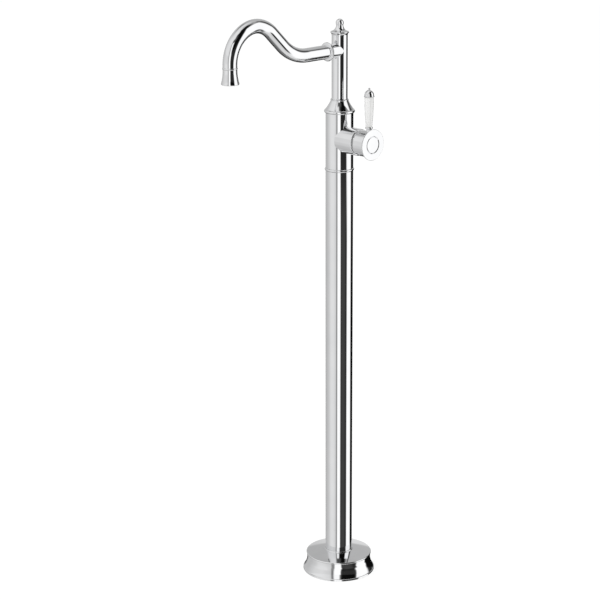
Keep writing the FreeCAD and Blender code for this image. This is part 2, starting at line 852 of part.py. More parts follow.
def make_cartridge():
    """Ceramic disc cartridge that lies in the branch: base, seals, discs, housing and nut."""
    axis_at = d.handle_height
    base = turned("cartridge_base", "H_Axis", [
        (cartridge_start, 0),
        (cartridge_base_end, 0),
        (cartridge_base_end, d.cartridge_radius),
        (cartridge_start, d.cartridge_radius),
    ])
    place(base, 0, 0, axis_at)
    base_length = cartridge_base_end - cartridge_start
    disc_end = cartridge_base_end + d.ceramic_thickness
    fixed = turned("fixed_ceramic_disc", "H_Axis", [
        (cartridge_base_end, 0),
        (disc_end, 0),
        (disc_end, housing_inside - d.face_gap),
        (cartridge_base_end, housing_inside - d.face_gap),
    ])
    place(fixed, 0, 0, axis_at)
    disc_port_radius = d.waterway_radius - d.disc_port_margin
    seal_radius = d.waterway_radius + d.port_seal_wall
    seals = []
    for name, y, z in port_places():
        at = (cartridge_start, y, z)
        bore(base, name + "_base_port", d.waterway_radius, base_length, at, ALONG_X)
        at = (cartridge_base_end, y, z)
        bore(fixed, name + "_disc_port", disc_port_radius, d.ceramic_thickness, at, ALONG_X)
        at = (d.chamber_floor, y, axis_at + z)
        length = d.port_seal_length
        rubber = loose_cylinder(name + "_rubber", seal_radius, length, at, ALONG_X)
        hole = loose_cylinder(name + "_rubber_bore", d.waterway_radius, length, at, ALONG_X)
        seal = document.addObject("Part::Cut", name + "_seal")
        seal.Base = rubber
        seal.Tool = hole
        seals.append(seal)
    group("port_seals", seals)
    housing = turned("cartridge_housing", "H_Axis", [
        (cartridge_base_end, housing_inside),
        (cartridge_base_end, d.cartridge_radius),
        (cartridge_shoulder, d.cartridge_radius),
        (cartridge_shoulder, cartridge_neck_radius),
        (cartridge_neck_end, cartridge_neck_radius),
        (cartridge_neck_end, cartridge_bore_radius),
        (cartridge_bore_start, cartridge_bore_radius),
        (cartridge_bore_start, housing_inside),
    ])
    place(housing, 0, 0, axis_at)
    nut_outside = branch_thread_radius - d.slip_fit
    nut = turned("cartridge_nut", "H_Axis", [
        (cartridge_shoulder, cartridge_neck_radius + d.face_gap),
        (cartridge_shoulder, nut_outside),
        (cartridge_shoulder + d.nut_thickness, nut_outside),
        (cartridge_shoulder + d.nut_thickness, cartridge_neck_radius + d.face_gap),
    ])
    place(nut, 0, 0, axis_at)


def make_dome():
    """Polished dome screwed into the branch; its sphere is centred on the lever's pivot."""
    skirt_inside = dome_edge - d.dome_wall
    inner = dome_radius - d.dome_wall
    mouth = d.dome_mouth_radius
    dome = turned("cartridge_dome", "H_Axis", [
        (dome_start, skirt_inside),
        (pivot_reach + leg(inner, skirt_inside), skirt_inside),
        (pivot_reach + leg(inner, mouth), mouth, inner, -1),
        (pivot_reach + leg(dome_radius, mouth), mouth),
        (branch_reach, dome_edge, dome_radius, 1),
        (dome_start, dome_edge),
    ])
    place(dome, 0, 0, d.handle_height)


def make_valve():
    """Moving disc and its driver, which slide together across the fixed disc."""
    axis_at = d.handle_height
    disc_radius = driver_radius - d.driver_overhang
    disc = turned("moving_ceramic_disc", "H_Axis", [
        (disc_start, 0),
        (driver_start, 0),
        (driver_start, disc_radius),
        (disc_start, disc_radius),
    ])
    place(disc, 0, 0, axis_at)
    recess_at = (disc_start, 0, 0)
    bore(disc, "mixing_recess", d.mixing_recess_radius, d.mixing_recess_depth, recess_at, ALONG_X)
    driver_end = driver_start + d.driver_thickness - d.slip_fit
    driver = turned("disc_driver", "H_Axis", [
        (driver_start, 0),
        (driver_end, 0),
        (driver_end, driver_radius),
        (driver_start, driver_radius),
    ])
    place(driver, 0, 0, axis_at)
    hole_radius = d.stem_ball_radius + d.free_gap
    bore(driver, "ball_socket", hole_radius, d.driver_thickness, (driver_start, 0, 0), ALONG_X)
    for name, side in (("left", -1), ("right", 1)):
        flat = driver.newObject("PartDesign::SubtractiveBox", name + "_flat")
        bind(flat, "Length", d.driver_thickness)
        bind(flat, "Width", driver_radius - d.driver_half_width)
        bind(flat, "Height", 2 * driver_radius)
        edge = d.driver_half_width if side > 0 else -driver_radius
        place(flat, driver_start, edge, -driver_radius)


def make_carrier():
    """Collar that turns in the cartridge's neck: jaws guide the driver, a slot lets the stem tilt."""
    jaw_start = driver_start + d.slip_fit + d.free_gap
    neck_radius = cartridge_bore_radius - d.running_fit
    carrier = turned("cartridge_carrier", "H_Axis", [
        (jaw_start, 0),
        (carrier_end, 0),
        (carrier_end, neck_radius),
        (carrier_flange_end, neck_radius),
        (carrier_flange_end, carrier_flange_radius),
        (jaw_start, carrier_flange_radius),
    ])
    place(carrier, 0, 0, d.handle_height)
    guide = carrier.newObject("PartDesign::SubtractiveBox", "jaw_guide")
    guide_half = d.driver_half_width + d.driver_play
    bind(guide, "Length", carrier_flange_start - jaw_start)
    bind(guide, "Width", 2 * guide_half)
    bind(guide, "Height", 2 * carrier_flange_radius)
    place(guide, jaw_start, -guide_half, -carrier_flange_radius)
    sketch = new_sketch(carrier, "tilt_slot_section", "XZ_Plane")
    half = d.stem_width / 2
    swing = sine(d.tilt_limit) / cosine(d.tilt_limit)
    waist = half / cosine(d.tilt_limit) + d.free_gap
    front = carrier_end - pivot_reach + d.cut_overrun
    back = pivot_reach - carrier_flange_start + d.cut_overrun
    outline(sketch, [
        (pivot_reach + front, half + d.free_gap),
        (pivot_reach, waist),
        (pivot_reach - back, waist + back * swing),
        (pivot_reach - back, -half - d.free_gap),
        (pivot_reach, -waist),
        (pivot_reach + front, -waist - front * swing),
    ])
    slot = carrier.newObject("PartDesign::Pocket", "tilt_slot")
    slot.Profile = sketch
    slot.Midplane = True
    bind(slot, "Length", d.stem_width + 2 * d.free_gap)
    pin_hole = d.pivot_pin_radius + d.slip_fit
    at = (pivot_reach, -cartridge_bore_radius, 0)
    bore(carrier, "pin_hole", pin_hole, 2 * cartridge_bore_radius, at, AHEAD_Y)
    pin_half = neck_radius - d.face_gap
    pin = loose_cylinder(
        "pivot_pin_bar",
        d.pivot_pin_radius,
        2 * pin_half,
        (pivot_reach, -pin_half, d.handle_height),
        AHEAD_Y,
    )
    keep("pivot_pin", pin)


# ---------------------------------------------------------------- handle

def make_stem():
    """Square stem with a ball end; it tilts on the pivot pin and carries the hub."""
    ball_side = leg(d.stem_ball_radius, d.stem_neck_radius)
    stem = turned("cartridge_stem", "H_Axis", [
        (stem_ball_reach - d.stem_ball_radius, 0, d.stem_ball_radius, 1),
        (stem_start + d.stem_root, 0),
        (stem_start + d.stem_root, d.stem_neck_radius),
        (stem_ball_reach + ball_side, d.stem_neck_radius),
        (stem_ball_reach, d.stem_ball_radius, d.stem_ball_radius, 1),
    ])
    place(stem, 0, 0, d.handle_height)
    bar = stem.newObject("PartDesign::AdditiveBox", "square_bar")
    bind(bar, "Length", stem_end - stem_start)
    bind(bar, "Width", d.stem_width)
    bind(bar, "Height", d.stem_width)
    place(bar, stem_start, -d.stem_width / 2, -d.stem_width / 2)
    hole = d.pivot_pin_radius + d.running_fit
    at = (pivot_reach, -d.stem_width / 2, 0)
    bore(stem, "stem_pin_hole", hole, d.stem_width, at, AHEAD_Y)


def make_hub():
    """Handle hub: a thin sleeve, a front wall with a small flare, and a boss on the stem."""
    inside = hub_radius - d.hub_wall
    wall_start = hub_end - d.hub_front_wall
    hub = turned("handle_hub", "H_Axis", [
        (hub_boss_start, 0),
        (hub_end, 0),
        (hub_end, hub_rim_radius),
        (hub_end - d.hub_flare_length, hub_radius, d.hub_flare_curve, -1),
        (hub_start + d.hub_edge, hub_radius),
        (hub_start, hub_radius - d.hub_edge),
        (hub_start, inside),
        (wall_start, inside),
        (wall_start, d.hub_boss_radius),
        (hub_boss_start, d.hub_boss_radius),
    ])
    place(hub, 0, 0, d.handle_height)
    square = d.stem_width + 2 * d.slip_fit
    socket = hub.newObject("PartDesign::SubtractiveBox", "stem_socket")
    bind(socket, "Length", stem_end + d.face_gap - hub_boss_start)
    bind(socket, "Width", square)
    bind(socket, "Height", square)
    place(socket, hub_boss_start, -square / 2, -square / 2)
    socket_at = (hub_end - face_socket_depth, 0, 0)
    bore(hub, "face_socket", d.face_spigot_radius + d.slip_fit, face_socket_depth, socket_at, ALONG_X)
    seat = (lever_reach, 0, hub_radius - d.lever_seat_depth)
    seat_height = d.hub_flare + d.lever_seat_depth
    bore(hub, "lever_seat_face", d.neck_foot_radius + d.face_gap, seat_height, seat)
    rod_at = (lever_reach, 0, square / 2)
    bore(hub, "lever_rod_hole", d.rod_radius + d.slip_fit, hub_radius - square / 2, rod_at)
    screw_reach = hub_boss_start + d.hub_screw_set_in
    screw_at = (screw_reach, 0, -hub_radius)
    bore(hub, "hub_screw_hole", d.hub_screw_radius + d.slip_fit, hub_radius - square / 2, screw_at)
    screw = loose_cylinder(
        "hub_screw_body",
        d.hub_screw_radius,
        d.hub_screw_length,
        (screw_reach, 0, d.handle_height - square / 2 - d.hub_screw_length),
    )
    keep("hub_grub_screw", screw)


def make_face():
    """Thin front disc of the handle with a plain button let into its middle."""
    front = hub_end + d.face_thickness
    recess = front - d.button_recess
    recess_radius = d.button_radius + d.button_gap
    edge = face_radius - d.face_edge_swell
    face = turned("hub_face", "H_Axis", [
        (hub_end - d.face_spigot_length, 0),
        (recess, 0),
        (recess, recess_radius),
        (front, recess_radius),
        (front, edge),
        (hub_end, edge, bulge(d.face_thickness, d.face_edge_swell), 1),
        (hub_end, d.face_spigot_radius),
        (hub_end - d.face_spigot_length, d.face_spigot_radius),
    ])
    place(face, 0, 0, d.handle_height)
    button = turned("index_button", "H_Axis", [
        (recess, 0),
        (front + d.button_rise, 0),
        (front, d.button_radius, bulge(2 * d.button_radius, d.button_rise), 1),
        (recess, d.button_radius),
    ])
    place(button, 0, 0, d.handle_height)


def make_lever():
    """Lever: turned neck, threaded rod, porcelain grip between thin washers, and an acorn tip."""
    seat = d.handle_height + hub_radius - d.lever_seat_depth
    bore_radius = d.rod_radius + d.slip_fit
    waist = d.neck_foot_height + d.neck_waist_height
    collar_bottom = waist + d.neck_collar_flare
    neck_top = collar_bottom + d.neck_collar_height
    neck = turned("lever_neck", "V_Axis", [
        (bore_radius, 0),
        (d.neck_foot_radius, 0),
        (d.neck_foot_radius, d.neck_foot_height),
        (d.neck_waist_radius, waist, d.neck_waist_curve, -1),
        (d.neck_collar_radius, collar_bottom, d.neck_waist_curve, -1),
        (d.neck_collar_radius, neck_top, bulge(d.neck_collar_height, d.neck_collar_swell), 1),
        (bore_radius, neck_top),
    ])
    place(neck, lever_reach, 0, seat)
    grip_start = seat + neck_top + d.grip_washer_height
    grip_end = grip_start + d.grip_length
    levels = (
        ("low", d.grip_foot_radius, seat + neck_top),
        ("high", d.grip_head_radius, grip_end),
    )
    washers = []
    for name, grip_radius, height in levels:
        at = (lever_reach, 0, height)
        radius = grip_radius - d.grip_washer_inset
        disc = loose_cylinder(name + "_washer_disc", radius, d.grip_washer_height, at)
        hole = loose_cylinder(name + "_washer_hole", bore_radius, d.grip_washer_height, at)
        washer = document.addObject("Part::Cut", name + "_washer")
        washer.Base = disc
        washer.Tool = hole
        washers.append(washer)
    group("grip_washers", washers)
    edge = d.grip_edge
    grip = turned("lever_grip", "V_Axis", [
        (bore_radius, 0),
        (d.grip_foot_radius - edge, 0),
        (d.grip_foot_radius, edge, edge, 1),
        (d.grip_head_radius, d.grip_length - edge, d.grip_curve, 1),
        (d.grip_head_radius - edge, d.grip_length, edge, 1),
        (bore_radius, d.grip_length),
    ])
    place(grip, lever_reach, 0, grip_start)
    tip_start = grip_end + d.grip_washer_height
    flange = d.tip_flange_radius - d.tip_flange_swell
    dome_top = d.tip_flange_height + d.tip_dome_height
    ball_foot = dome_top + d.tip_neck_length
    ball_centre = ball_foot + leg(d.tip_ball_radius, d.tip_neck_radius)
    tip = turned("lever_tip", "V_Axis", [
        (bore_radius, 0),
        (flange, 0),
        (flange, d.tip_flange_height, bulge(d.tip_flange_height, d.tip_flange_swell), 1),
        (d.tip_dome_radius, d.tip_flange_height),
        (d.tip_neck_radius, dome_top, d.tip_dome_curve, 1),
        (d.tip_neck_radius, ball_foot),
        (d.tip_ball_radius, ball_centre, d.tip_ball_radius, 1),
        (0, ball_centre + d.tip_ball_radius, d.tip_ball_radius, 1),
        (0, d.rod_tip_depth),
        (bore_radius, d.rod_tip_depth),
    ])
    place(tip, lever_reach, 0, tip_start)
    rod_bottom = d.handle_height + d.stem_width / 2 + d.slip_fit + d.rod_end_gap
    rod_top = tip_start + d.rod_tip_depth - d.free_gap
    rod_at = (lever_reach, 0, rod_bottom)
    keep("lever_rod", loose_cylinder("lever_rod_bar", d.rod_radius, rod_top - rod_bottom, rod_at))


# ---------------------------------------------------------------- riser and finial

def make_riser():
    """Riser: a thick tube that swivels in the body, with a trapped flange and the spout's stub."""
    groove_floor = d.riser_radius - d.seal_groove_depth
    groove_half = d.riser_seal_section + d.seal_groove_play
    first = riser_bottom + d.riser_seal_first
    second = first + d.riser_seal_pitch
    cove_foot = body_top + bonnet_top + d.free_gap
    radius = d.riser_radius
    riser = turned("riser_tube", "V_Axis", [
        (0, riser_bottom),
        (radius, riser_bottom),
        (radius, first - groove_half),
        (groove_floor, first - groove_half),
        (groove_floor, first + groove_half),
        (radius, first + groove_half),
        (radius, second - groove_half),
        (groove_floor, second - groove_half),
        (groove_floor, second + groove_half),
        (radius, second + groove_half),
        (radius, riser_flange_bottom),
        (riser_flange_radius, riser_flange_bottom),
        (riser_flange_radius, riser_flange_top),
        (radius, riser_flange_top),
        (radius, cove_foot),
        (radius + d.riser_cove, cove_foot),
        (radius, cove_foot + d.riser_cove_height, d.riser_cove_curve, -1),
        (radius, riser_top),
        (0, riser_top),
    ])
    centre = (0, 0, spout_height)
    stub_length = d.stub_end + d.stub_spigot_length
    stub = riser.newObject("PartDesign::AdditiveCone", "stub")
    bind(stub, "Radius1", d.stub_root_radius)
    bind(stub, "Radius2", d.spout_radius)
    bind(stub, "Height", d.stub_end)
    turn(stub, *BACK_Y)
    place(stub, *centre)
    cylinder(riser, "Additive", "stub_spigot", spout_spigot, stub_length, centre, BACK_Y)
    seal_at = (0, -d.stub_end - d.stub_seal_place, spout_height)
    groove = riser.newObject("PartDesign::SubtractiveTorus", "stub_groove")
    bind(groove, "Radius1", spout_spigot)
    bind(groove, "Radius2", d.stub_groove_radius)
    turn(groove, *BACK_Y)
    place(groove, *seal_at)
    bore(riser, "riser_bore", riser_bore, riser_top - riser_bottom, (0, 0, riser_bottom))
    bore(riser, "stub_bore", d.stub_bore_radius, stub_length, centre, BACK_Y)
    major = groove_floor + d.riser_seal_section
    section = d.riser_seal_section
    rings = [
        seal_ring("lower_riser_ring", major, section, (0, 0, first)),
        seal_ring("upper_riser_ring", major, section, (0, 0, second)),
    ]
    group("riser_seals", rings)
    stub_major = spout_inside - d.stub_seal_section - d.slip_fit
    keep("stub_seal", seal_ring("stub_ring", stub_major, d.stub_seal_section, seal_at, BACK_Y))


def make_finial():
    """Turned finial screwed into the riser: a flange, a trumpet and a ball."""
    flange_top = d.finial_cove_height + d.finial_flange_height
    cone_bottom = flange_top + d.finial_slope_height
    neck_bottom = cone_bottom + d.finial_cone_height
    ball_foot = neck_bottom + d.finial_neck_length
    ball_centre = ball_foot + leg(d.finial_ball_radius, d.finial_neck_radius)
    flange = d.riser_radius + d.finial_overhang - d.finial_flange_swell
    rim = bulge(d.finial_flange_height, d.finial_flange_swell)
    spigot = riser_bore - d.slip_fit
    groove_floor = spigot - 2 * d.stub_seal_section
    groove_middle = d.finial_spigot_length / 2
    groove_half = d.stub_seal_section + d.seal_groove_play
    finial = turned("finial", "V_Axis", [
        (0, -d.finial_spigot_length),
        (spigot, -d.finial_spigot_length),
        (spigot, -groove_middle - groove_half),
        (groove_floor, -groove_middle - groove_half),
        (groove_floor, -groove_middle + groove_half),
        (spigot, -groove_middle + groove_half),
        (spigot, 0),
        (d.riser_radius, 0),
        (flange, d.finial_cove_height, d.finial_cove_curve, -1),
        (flange, flange_top, rim, 1),
        (d.finial_cone_radius, cone_bottom),
        (d.finial_neck_radius, neck_bottom, d.finial_cone_curve, -1),
        (d.finial_neck_radius, ball_foot),
        (d.finial_ball_radius, ball_centre, d.finial_ball_radius, 1),
        (0, ball_centre + d.finial_ball_radius, d.finial_ball_radius, 1),
    ])
    place(finial, 0, 0, riser_top)
    at = (0, 0, riser_top - groove_middle)
    major = groove_floor + d.stub_seal_section
    keep("finial_seal", seal_ring("finial_ring", major, d.stub_seal_section, at))


# ---------------------------------------------------------------- spout and outlet

def make_spout_collar():
    """Bead ring between the riser's stub and the spout tube."""
    side = d.spout_radius + d.collar_side_step
    collar = turned("spout_collar", "H_Axis", [
        (0, spout_inside),
        (d.collar_width, spout_inside),
        (d.collar_width, side),
        (0, side, bulge(d.collar_width, d.collar_swell), 1),
    ])
    turn(collar, *X_TO_BACK_Y)
    place(collar, 0, -d.stub_end, spout_height)


def make_spout_tube():
    """Swan neck: a round tube drawn along straight runs and tangent arcs.

    The slope's length follows from the reach, and the last run down follows from the outlet's height.
    """
    start = d.stub_end + d.collar_width
    fall_angle = d.crest_turn - d.rise_angle
    rise_x = d.spout_level_end + d.rise_curve * sine(d.rise_angle)
    rise_z = d.rise_curve * (1 - cosine(d.rise_angle))
    crest_x = d.crest_curve * (sine(d.rise_angle) + sine(fall_angle))
    crest_z = d.crest_curve * (cosine(fall_angle) - cosine(d.rise_angle))
    drop_x = d.drop_curve * (1 - sine(fall_angle))
    drop_z = -(d.drop_curve * cosine(fall_angle))
    slope_x = d.spout_reach - rise_x - crest_x - drop_x
    slope_z = slope_x * sine(d.rise_angle) / cosine(d.rise_angle)
    slope_start = (rise_x, rise_z)
    slope_end = (rise_x + slope_x, rise_z + slope_z)
    crest_end = (slope_end[0] + crest_x, slope_end[1] + crest_z)
    drop_end = (d.spout_reach, crest_end[1] + drop_z)
    tip = (d.spout_reach, -d.outlet_drop)
    stations = [
        (start, as_size(0)),
        (d.spout_level_end, as_size(0)),
        slope_start + (d.rise_curve, 1),
        slope_end,
        crest_end + (d.crest_curve, -1),
        drop_end + (d.drop_curve, -1),
        tip,
    ]
    spout = new_body("spout_tube")
    path = new_sketch(spout, "spout_path", "XZ_Plane")
    points = [FreeCAD.Vector(s[0].value, s[1].value, 0) for s in stations]
    ends = [(1, 2)]
    path.addGeometry(Part.LineSegment(points[0], points[1]), False)
    for index in range(2, len(stations)):
        station = stations[index]
        if len(station) == 2:
            path.addGeometry(Part.LineSegment(points[index - 1], points[index]), False)
            ends.append((1, 2))
        else:
            arc = arc_between(points[index - 1], points[index], station[2].value, station[3])
            path.addGeometry(arc, False)
            ends.append((1, 2) if station[3] > 0 else (2, 1))
    for index in range(len(ends) - 1):
        joined = (index, ends[index][1], index + 1, ends[index + 1][0])
        path.addConstraint(Sketcher.Constraint("Coincident", *joined))
    fix_point(path, 0, 1, *stations[0])
    for index in range(1, len(stations)):
        fix_point(path, index - 1, ends[index - 1][1], *stations[index][:2])
        if len(stations[index]) > 2:
            fix(path, "Radius", (index - 1,), stations[index][2])
    ring = new_sketch(spout, "spout_section", "YZ_Plane")
    circles = (d.spout_radius, spout_inside)
    for index, radius in enumerate(circles):
        centre = FreeCAD.Vector(0, 0, 0)
        ring.addGeometry(Part.Circle(centre, FreeCAD.Vector(0, 0, 1), radius.value), False)
        ring.addConstraint(Sketcher.Constraint("Coincident", index, 3, -1, 1))
        fix(ring, "Radius", (index,), radius)
    bind(ring, "AttachmentOffset.Base.z", start)
    pipe = spout.newObject("PartDesign::AdditivePipe", "swan_neck")
    pipe.Profile = ring
    pipe.Spine = (path, [])
    keep("spout_tube", spout)
    turn(spout, *X_TO_BACK_Y)
    place(spout, 0, 0, spout_height)


def make_outlet():
    """Outlet: a thin ring, a flared bell and the aerator in its mouth."""
    ring_radius = bulge(d.outlet_ring_height, d.outlet_ring_swell)
    bell_top = outlet_height - d.outlet_ring_height
    bell_bottom = bell_top - d.bell_height
    ring = turned("outlet_ring", "V_Axis", [
        (spout_inside, 0),
        (d.spout_radius, 0),
        (d.spout_radius, d.outlet_ring_height, ring_radius, 1),
        (spout_inside, d.outlet_ring_height),
    ])
    place(ring, 0, -d.spout_reach, bell_top)
    bell_spigot_top = d.bell_height + d.bell_spigot_length
    chamber_radius = d.aerator_radius + d.face_gap
    chamber_top = d.aerator_set_in + d.aerator_height + d.aerator_washer_height
    lip = d.bell_lip
    flare_start = d.bell_height - d.bell_neck_length
    bell = turned("outlet_bell", "V_Axis", [
        (chamber_radius, 0),
        (d.bell_radius - lip, 0),
        (d.bell_radius, lip, lip, 1),
        (d.bell_radius, lip + d.bell_land),
        (d.spout_radius, flare_start, d.bell_flare_curve, -1),
        (d.spout_radius, d.bell_height),
        (spout_spigot, d.bell_height),
        (spout_spigot, bell_spigot_top),
        (d.bell_passage_radius, bell_spigot_top),
        (d.bell_passage_radius, chamber_top),
        (chamber_radius, chamber_top),
    ])
    place(bell, 0, -d.spout_reach, bell_bottom)
    insert = turned("aerator_insert", "V_Axis", [
        (0, 0),
        (d.aerator_radius, 0),
        (d.aerator_radius, d.aerator_height),
        (0, d.aerator_height),
    ])
    place(insert, 0, -d.spout_reach, bell_bottom + d.aerator_set_in)
    bore(insert, "middle_jet", d.aerator_hole_radius, d.aerator_height, (0, 0, 0))
    at = (d.aerator_hole_circle / 2, 0, 0)
    jet = bore(insert, "jet", d.aerator_hole_radius, d.aerator_height, at)
    ring_pattern(insert, jet, "Z_Axis", d.aerator_hole_count)
    washer_inside = d.bell_passage_radius + d.free_gap
    washer = tube("aerator_washer", d.aerator_radius, washer_inside, d.aerator_washer_height)
    place(washer, 0, -d.spout_reach, bell_bottom + d.aerator_set_in + d.aerator_height)


make_floor_plate()
make_base_cover()
make_cover_seal()
make_column()
make_supply_pipes()
make_joint_ring()
make_mixer_body()
make_bonnet()
make_cartridge()
make_dome()
make_valve()
make_carrier()
make_stem()
make_hub()
make_face()
make_lever()
make_riser()
make_finial()
make_spout_collar()
make_spout_tube()
make_outlet()
document.recompute()

for thing in document.Objects:
    for word in ("Invalid", "Error"):
        if word in thing.State:
            raise RuntimeError("%s is %s" % (thing.Name, word))
for label, thing in parts.items():
    if thing.Shape.isNull() or not thing.Shape.isValid():
        raise RuntimeError(label + " has no valid shape")

os.makedirs("parts", exist_ok=True)
for label, thing in parts.items():
    thing.Shape.exportStep("parts/%s.step" % label)
print(len(parts), "sub-parts written")
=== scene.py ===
from math import atan2, cos, pi, radians, sin, sqrt

import bmesh
import bpy
from mathutils import Matrix, Vector


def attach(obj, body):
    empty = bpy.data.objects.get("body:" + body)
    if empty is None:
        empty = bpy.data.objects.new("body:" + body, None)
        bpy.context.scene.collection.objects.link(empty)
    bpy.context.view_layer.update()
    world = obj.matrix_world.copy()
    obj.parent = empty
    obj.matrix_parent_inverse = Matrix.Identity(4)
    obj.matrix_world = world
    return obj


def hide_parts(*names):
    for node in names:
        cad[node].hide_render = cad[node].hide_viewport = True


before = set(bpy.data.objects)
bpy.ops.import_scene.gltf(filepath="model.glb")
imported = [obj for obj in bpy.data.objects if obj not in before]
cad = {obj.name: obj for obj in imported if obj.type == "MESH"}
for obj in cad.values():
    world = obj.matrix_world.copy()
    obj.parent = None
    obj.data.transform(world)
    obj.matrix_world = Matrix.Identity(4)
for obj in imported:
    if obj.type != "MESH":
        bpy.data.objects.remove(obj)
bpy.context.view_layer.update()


# ---------------------------------------------------------------------------
# Camera. A long lens on a tall stand looks down at the filler from between
# its spout and its handle, as in the product photograph.

lens_data = bpy.data.cameras.new("photo_lens")
lens_data.lens = 114.834
lens_data.sensor_width = 36.0
lens_data.clip_start = 0.05
lens_data.clip_end = 60.0
camera = bpy.data.objects.new("photo_camera", lens_data)
bpy.context.scene.collection.objects.link(camera)

view_from = radians(45.0)
camera_distance = 2.8491
camera_height = 1.29696
look_down = radians(16.545)
look_aside = radians(-1.2231)
tilt = radians(-0.2352)

across = Vector((cos(view_from), sin(view_from), 0.0))
away = Vector((-sin(view_from), cos(view_from), 0.0))
right = across * cos(look_aside) - away * sin(look_aside)
level = across * sin(look_aside) + away * cos(look_aside)
ahead = level * cos(look_down) - Vector((0, 0, 1)) * sin(look_down)
up = level * sin(look_down) + Vector((0, 0, 1)) * cos(look_down)
camera_right = right * cos(tilt) + up * sin(tilt)
camera_up = up * cos(tilt) - right * sin(tilt)
stand_point = -away * camera_distance + Vector((0, 0, camera_height))
camera.matrix_world = Matrix((
    (camera_right.x, camera_up.x, -ahead.x, stand_point.x),
    (camera_right.y, camera_up.y, -ahead.y, stand_point.y),
    (camera_right.z, camera_up.z, -ahead.z, stand_point.z),
    (0, 0, 0, 1),
))
bpy.context.scene.camera = camera


# ---------------------------------------------------------------------------
# Studio. A white room for the picture and for matt surfaces; polished metal
# mirrors its soft boxes and the tall black flags that stand between them.

studio = bpy.data.worlds.new("white_studio")
bpy.context.scene.world = studio
studio.use_nodes = True
tree = studio.node_tree
tree.nodes.clear()
link = tree.links.new

direction = tree.nodes.new("ShaderNodeTexCoord")
split = tree.nodes.new("ShaderNodeSeparateXYZ")
link(direction.outputs["Generated"], split.inputs[0])
azimuth = tree.nodes.new("ShaderNodeMath")
azimuth.operation = "ARCTAN2"
link(split.outputs["Y"], azimuth.inputs[0])
link(split.outputs["X"], azimuth.inputs[1])
# turned so that one half of the round is the way to the camera
full_turn = 2 * pi
round_share = tree.nodes.new("ShaderNodeMath")
round_share.operation = "MULTIPLY_ADD"
link(azimuth.outputs[0], round_share.inputs[0])
round_share.inputs[1].default_value = 1 / full_turn
round_share.inputs[2].default_value = 0.5 + view_from / full_turn
wrapped = tree.nodes.new("ShaderNodeMath")
wrapped.operation = "FRACT"
link(round_share.outputs[0], wrapped.inputs[0])


def screen_ramp(stops):
    """Soft boxes and flags round the room.

    Each stop is degrees to the right of the camera and brightness.
    """
    ramp = tree.nodes.new("ShaderNodeValToRGB")
    band = ramp.color_ramp
    band.interpolation = "LINEAR"
    while len(band.elements) > 1:
        band.elements.remove(band.elements[-1])
    for number, (degrees, grey) in enumerate(stops):
        share = (degrees + 180) / 360
        if number == 0:
            stop = band.elements[0]
            stop.position = share
        else:
            stop = band.elements.new(share)
        stop.color = (grey, grey, grey, 1)
    link(wrapped.outputs[0], ramp.inputs[0])
    return ramp


# where a colour mix takes its two colours and gives its result
first_colour, second_colour, mixed_colour = 6, 7, 2


def mix_grey(factor, low, high):
    """Blends from one grey to another by a factor."""
    blend = tree.nodes.new("ShaderNodeMix")
    blend.data_type = "RGBA"
    link(factor, blend.inputs[0])
    link(low, blend.inputs[first_colour])
    link(high, blend.inputs[second_colour])
    return blend.outputs[mixed_colour]


def rise_between(low, high):
    """Goes from 0 to 1 as the direction climbs between two sines of elevation."""
    step = tree.nodes.new("ShaderNodeMapRange")
    step.interpolation_type = "SMOOTHSTEP"
    link(split.outputs["Z"], step.inputs["Value"])
    step.inputs["From Min"].default_value = low
    step.inputs["From Max"].default_value = high
    return step.outputs["Result"]


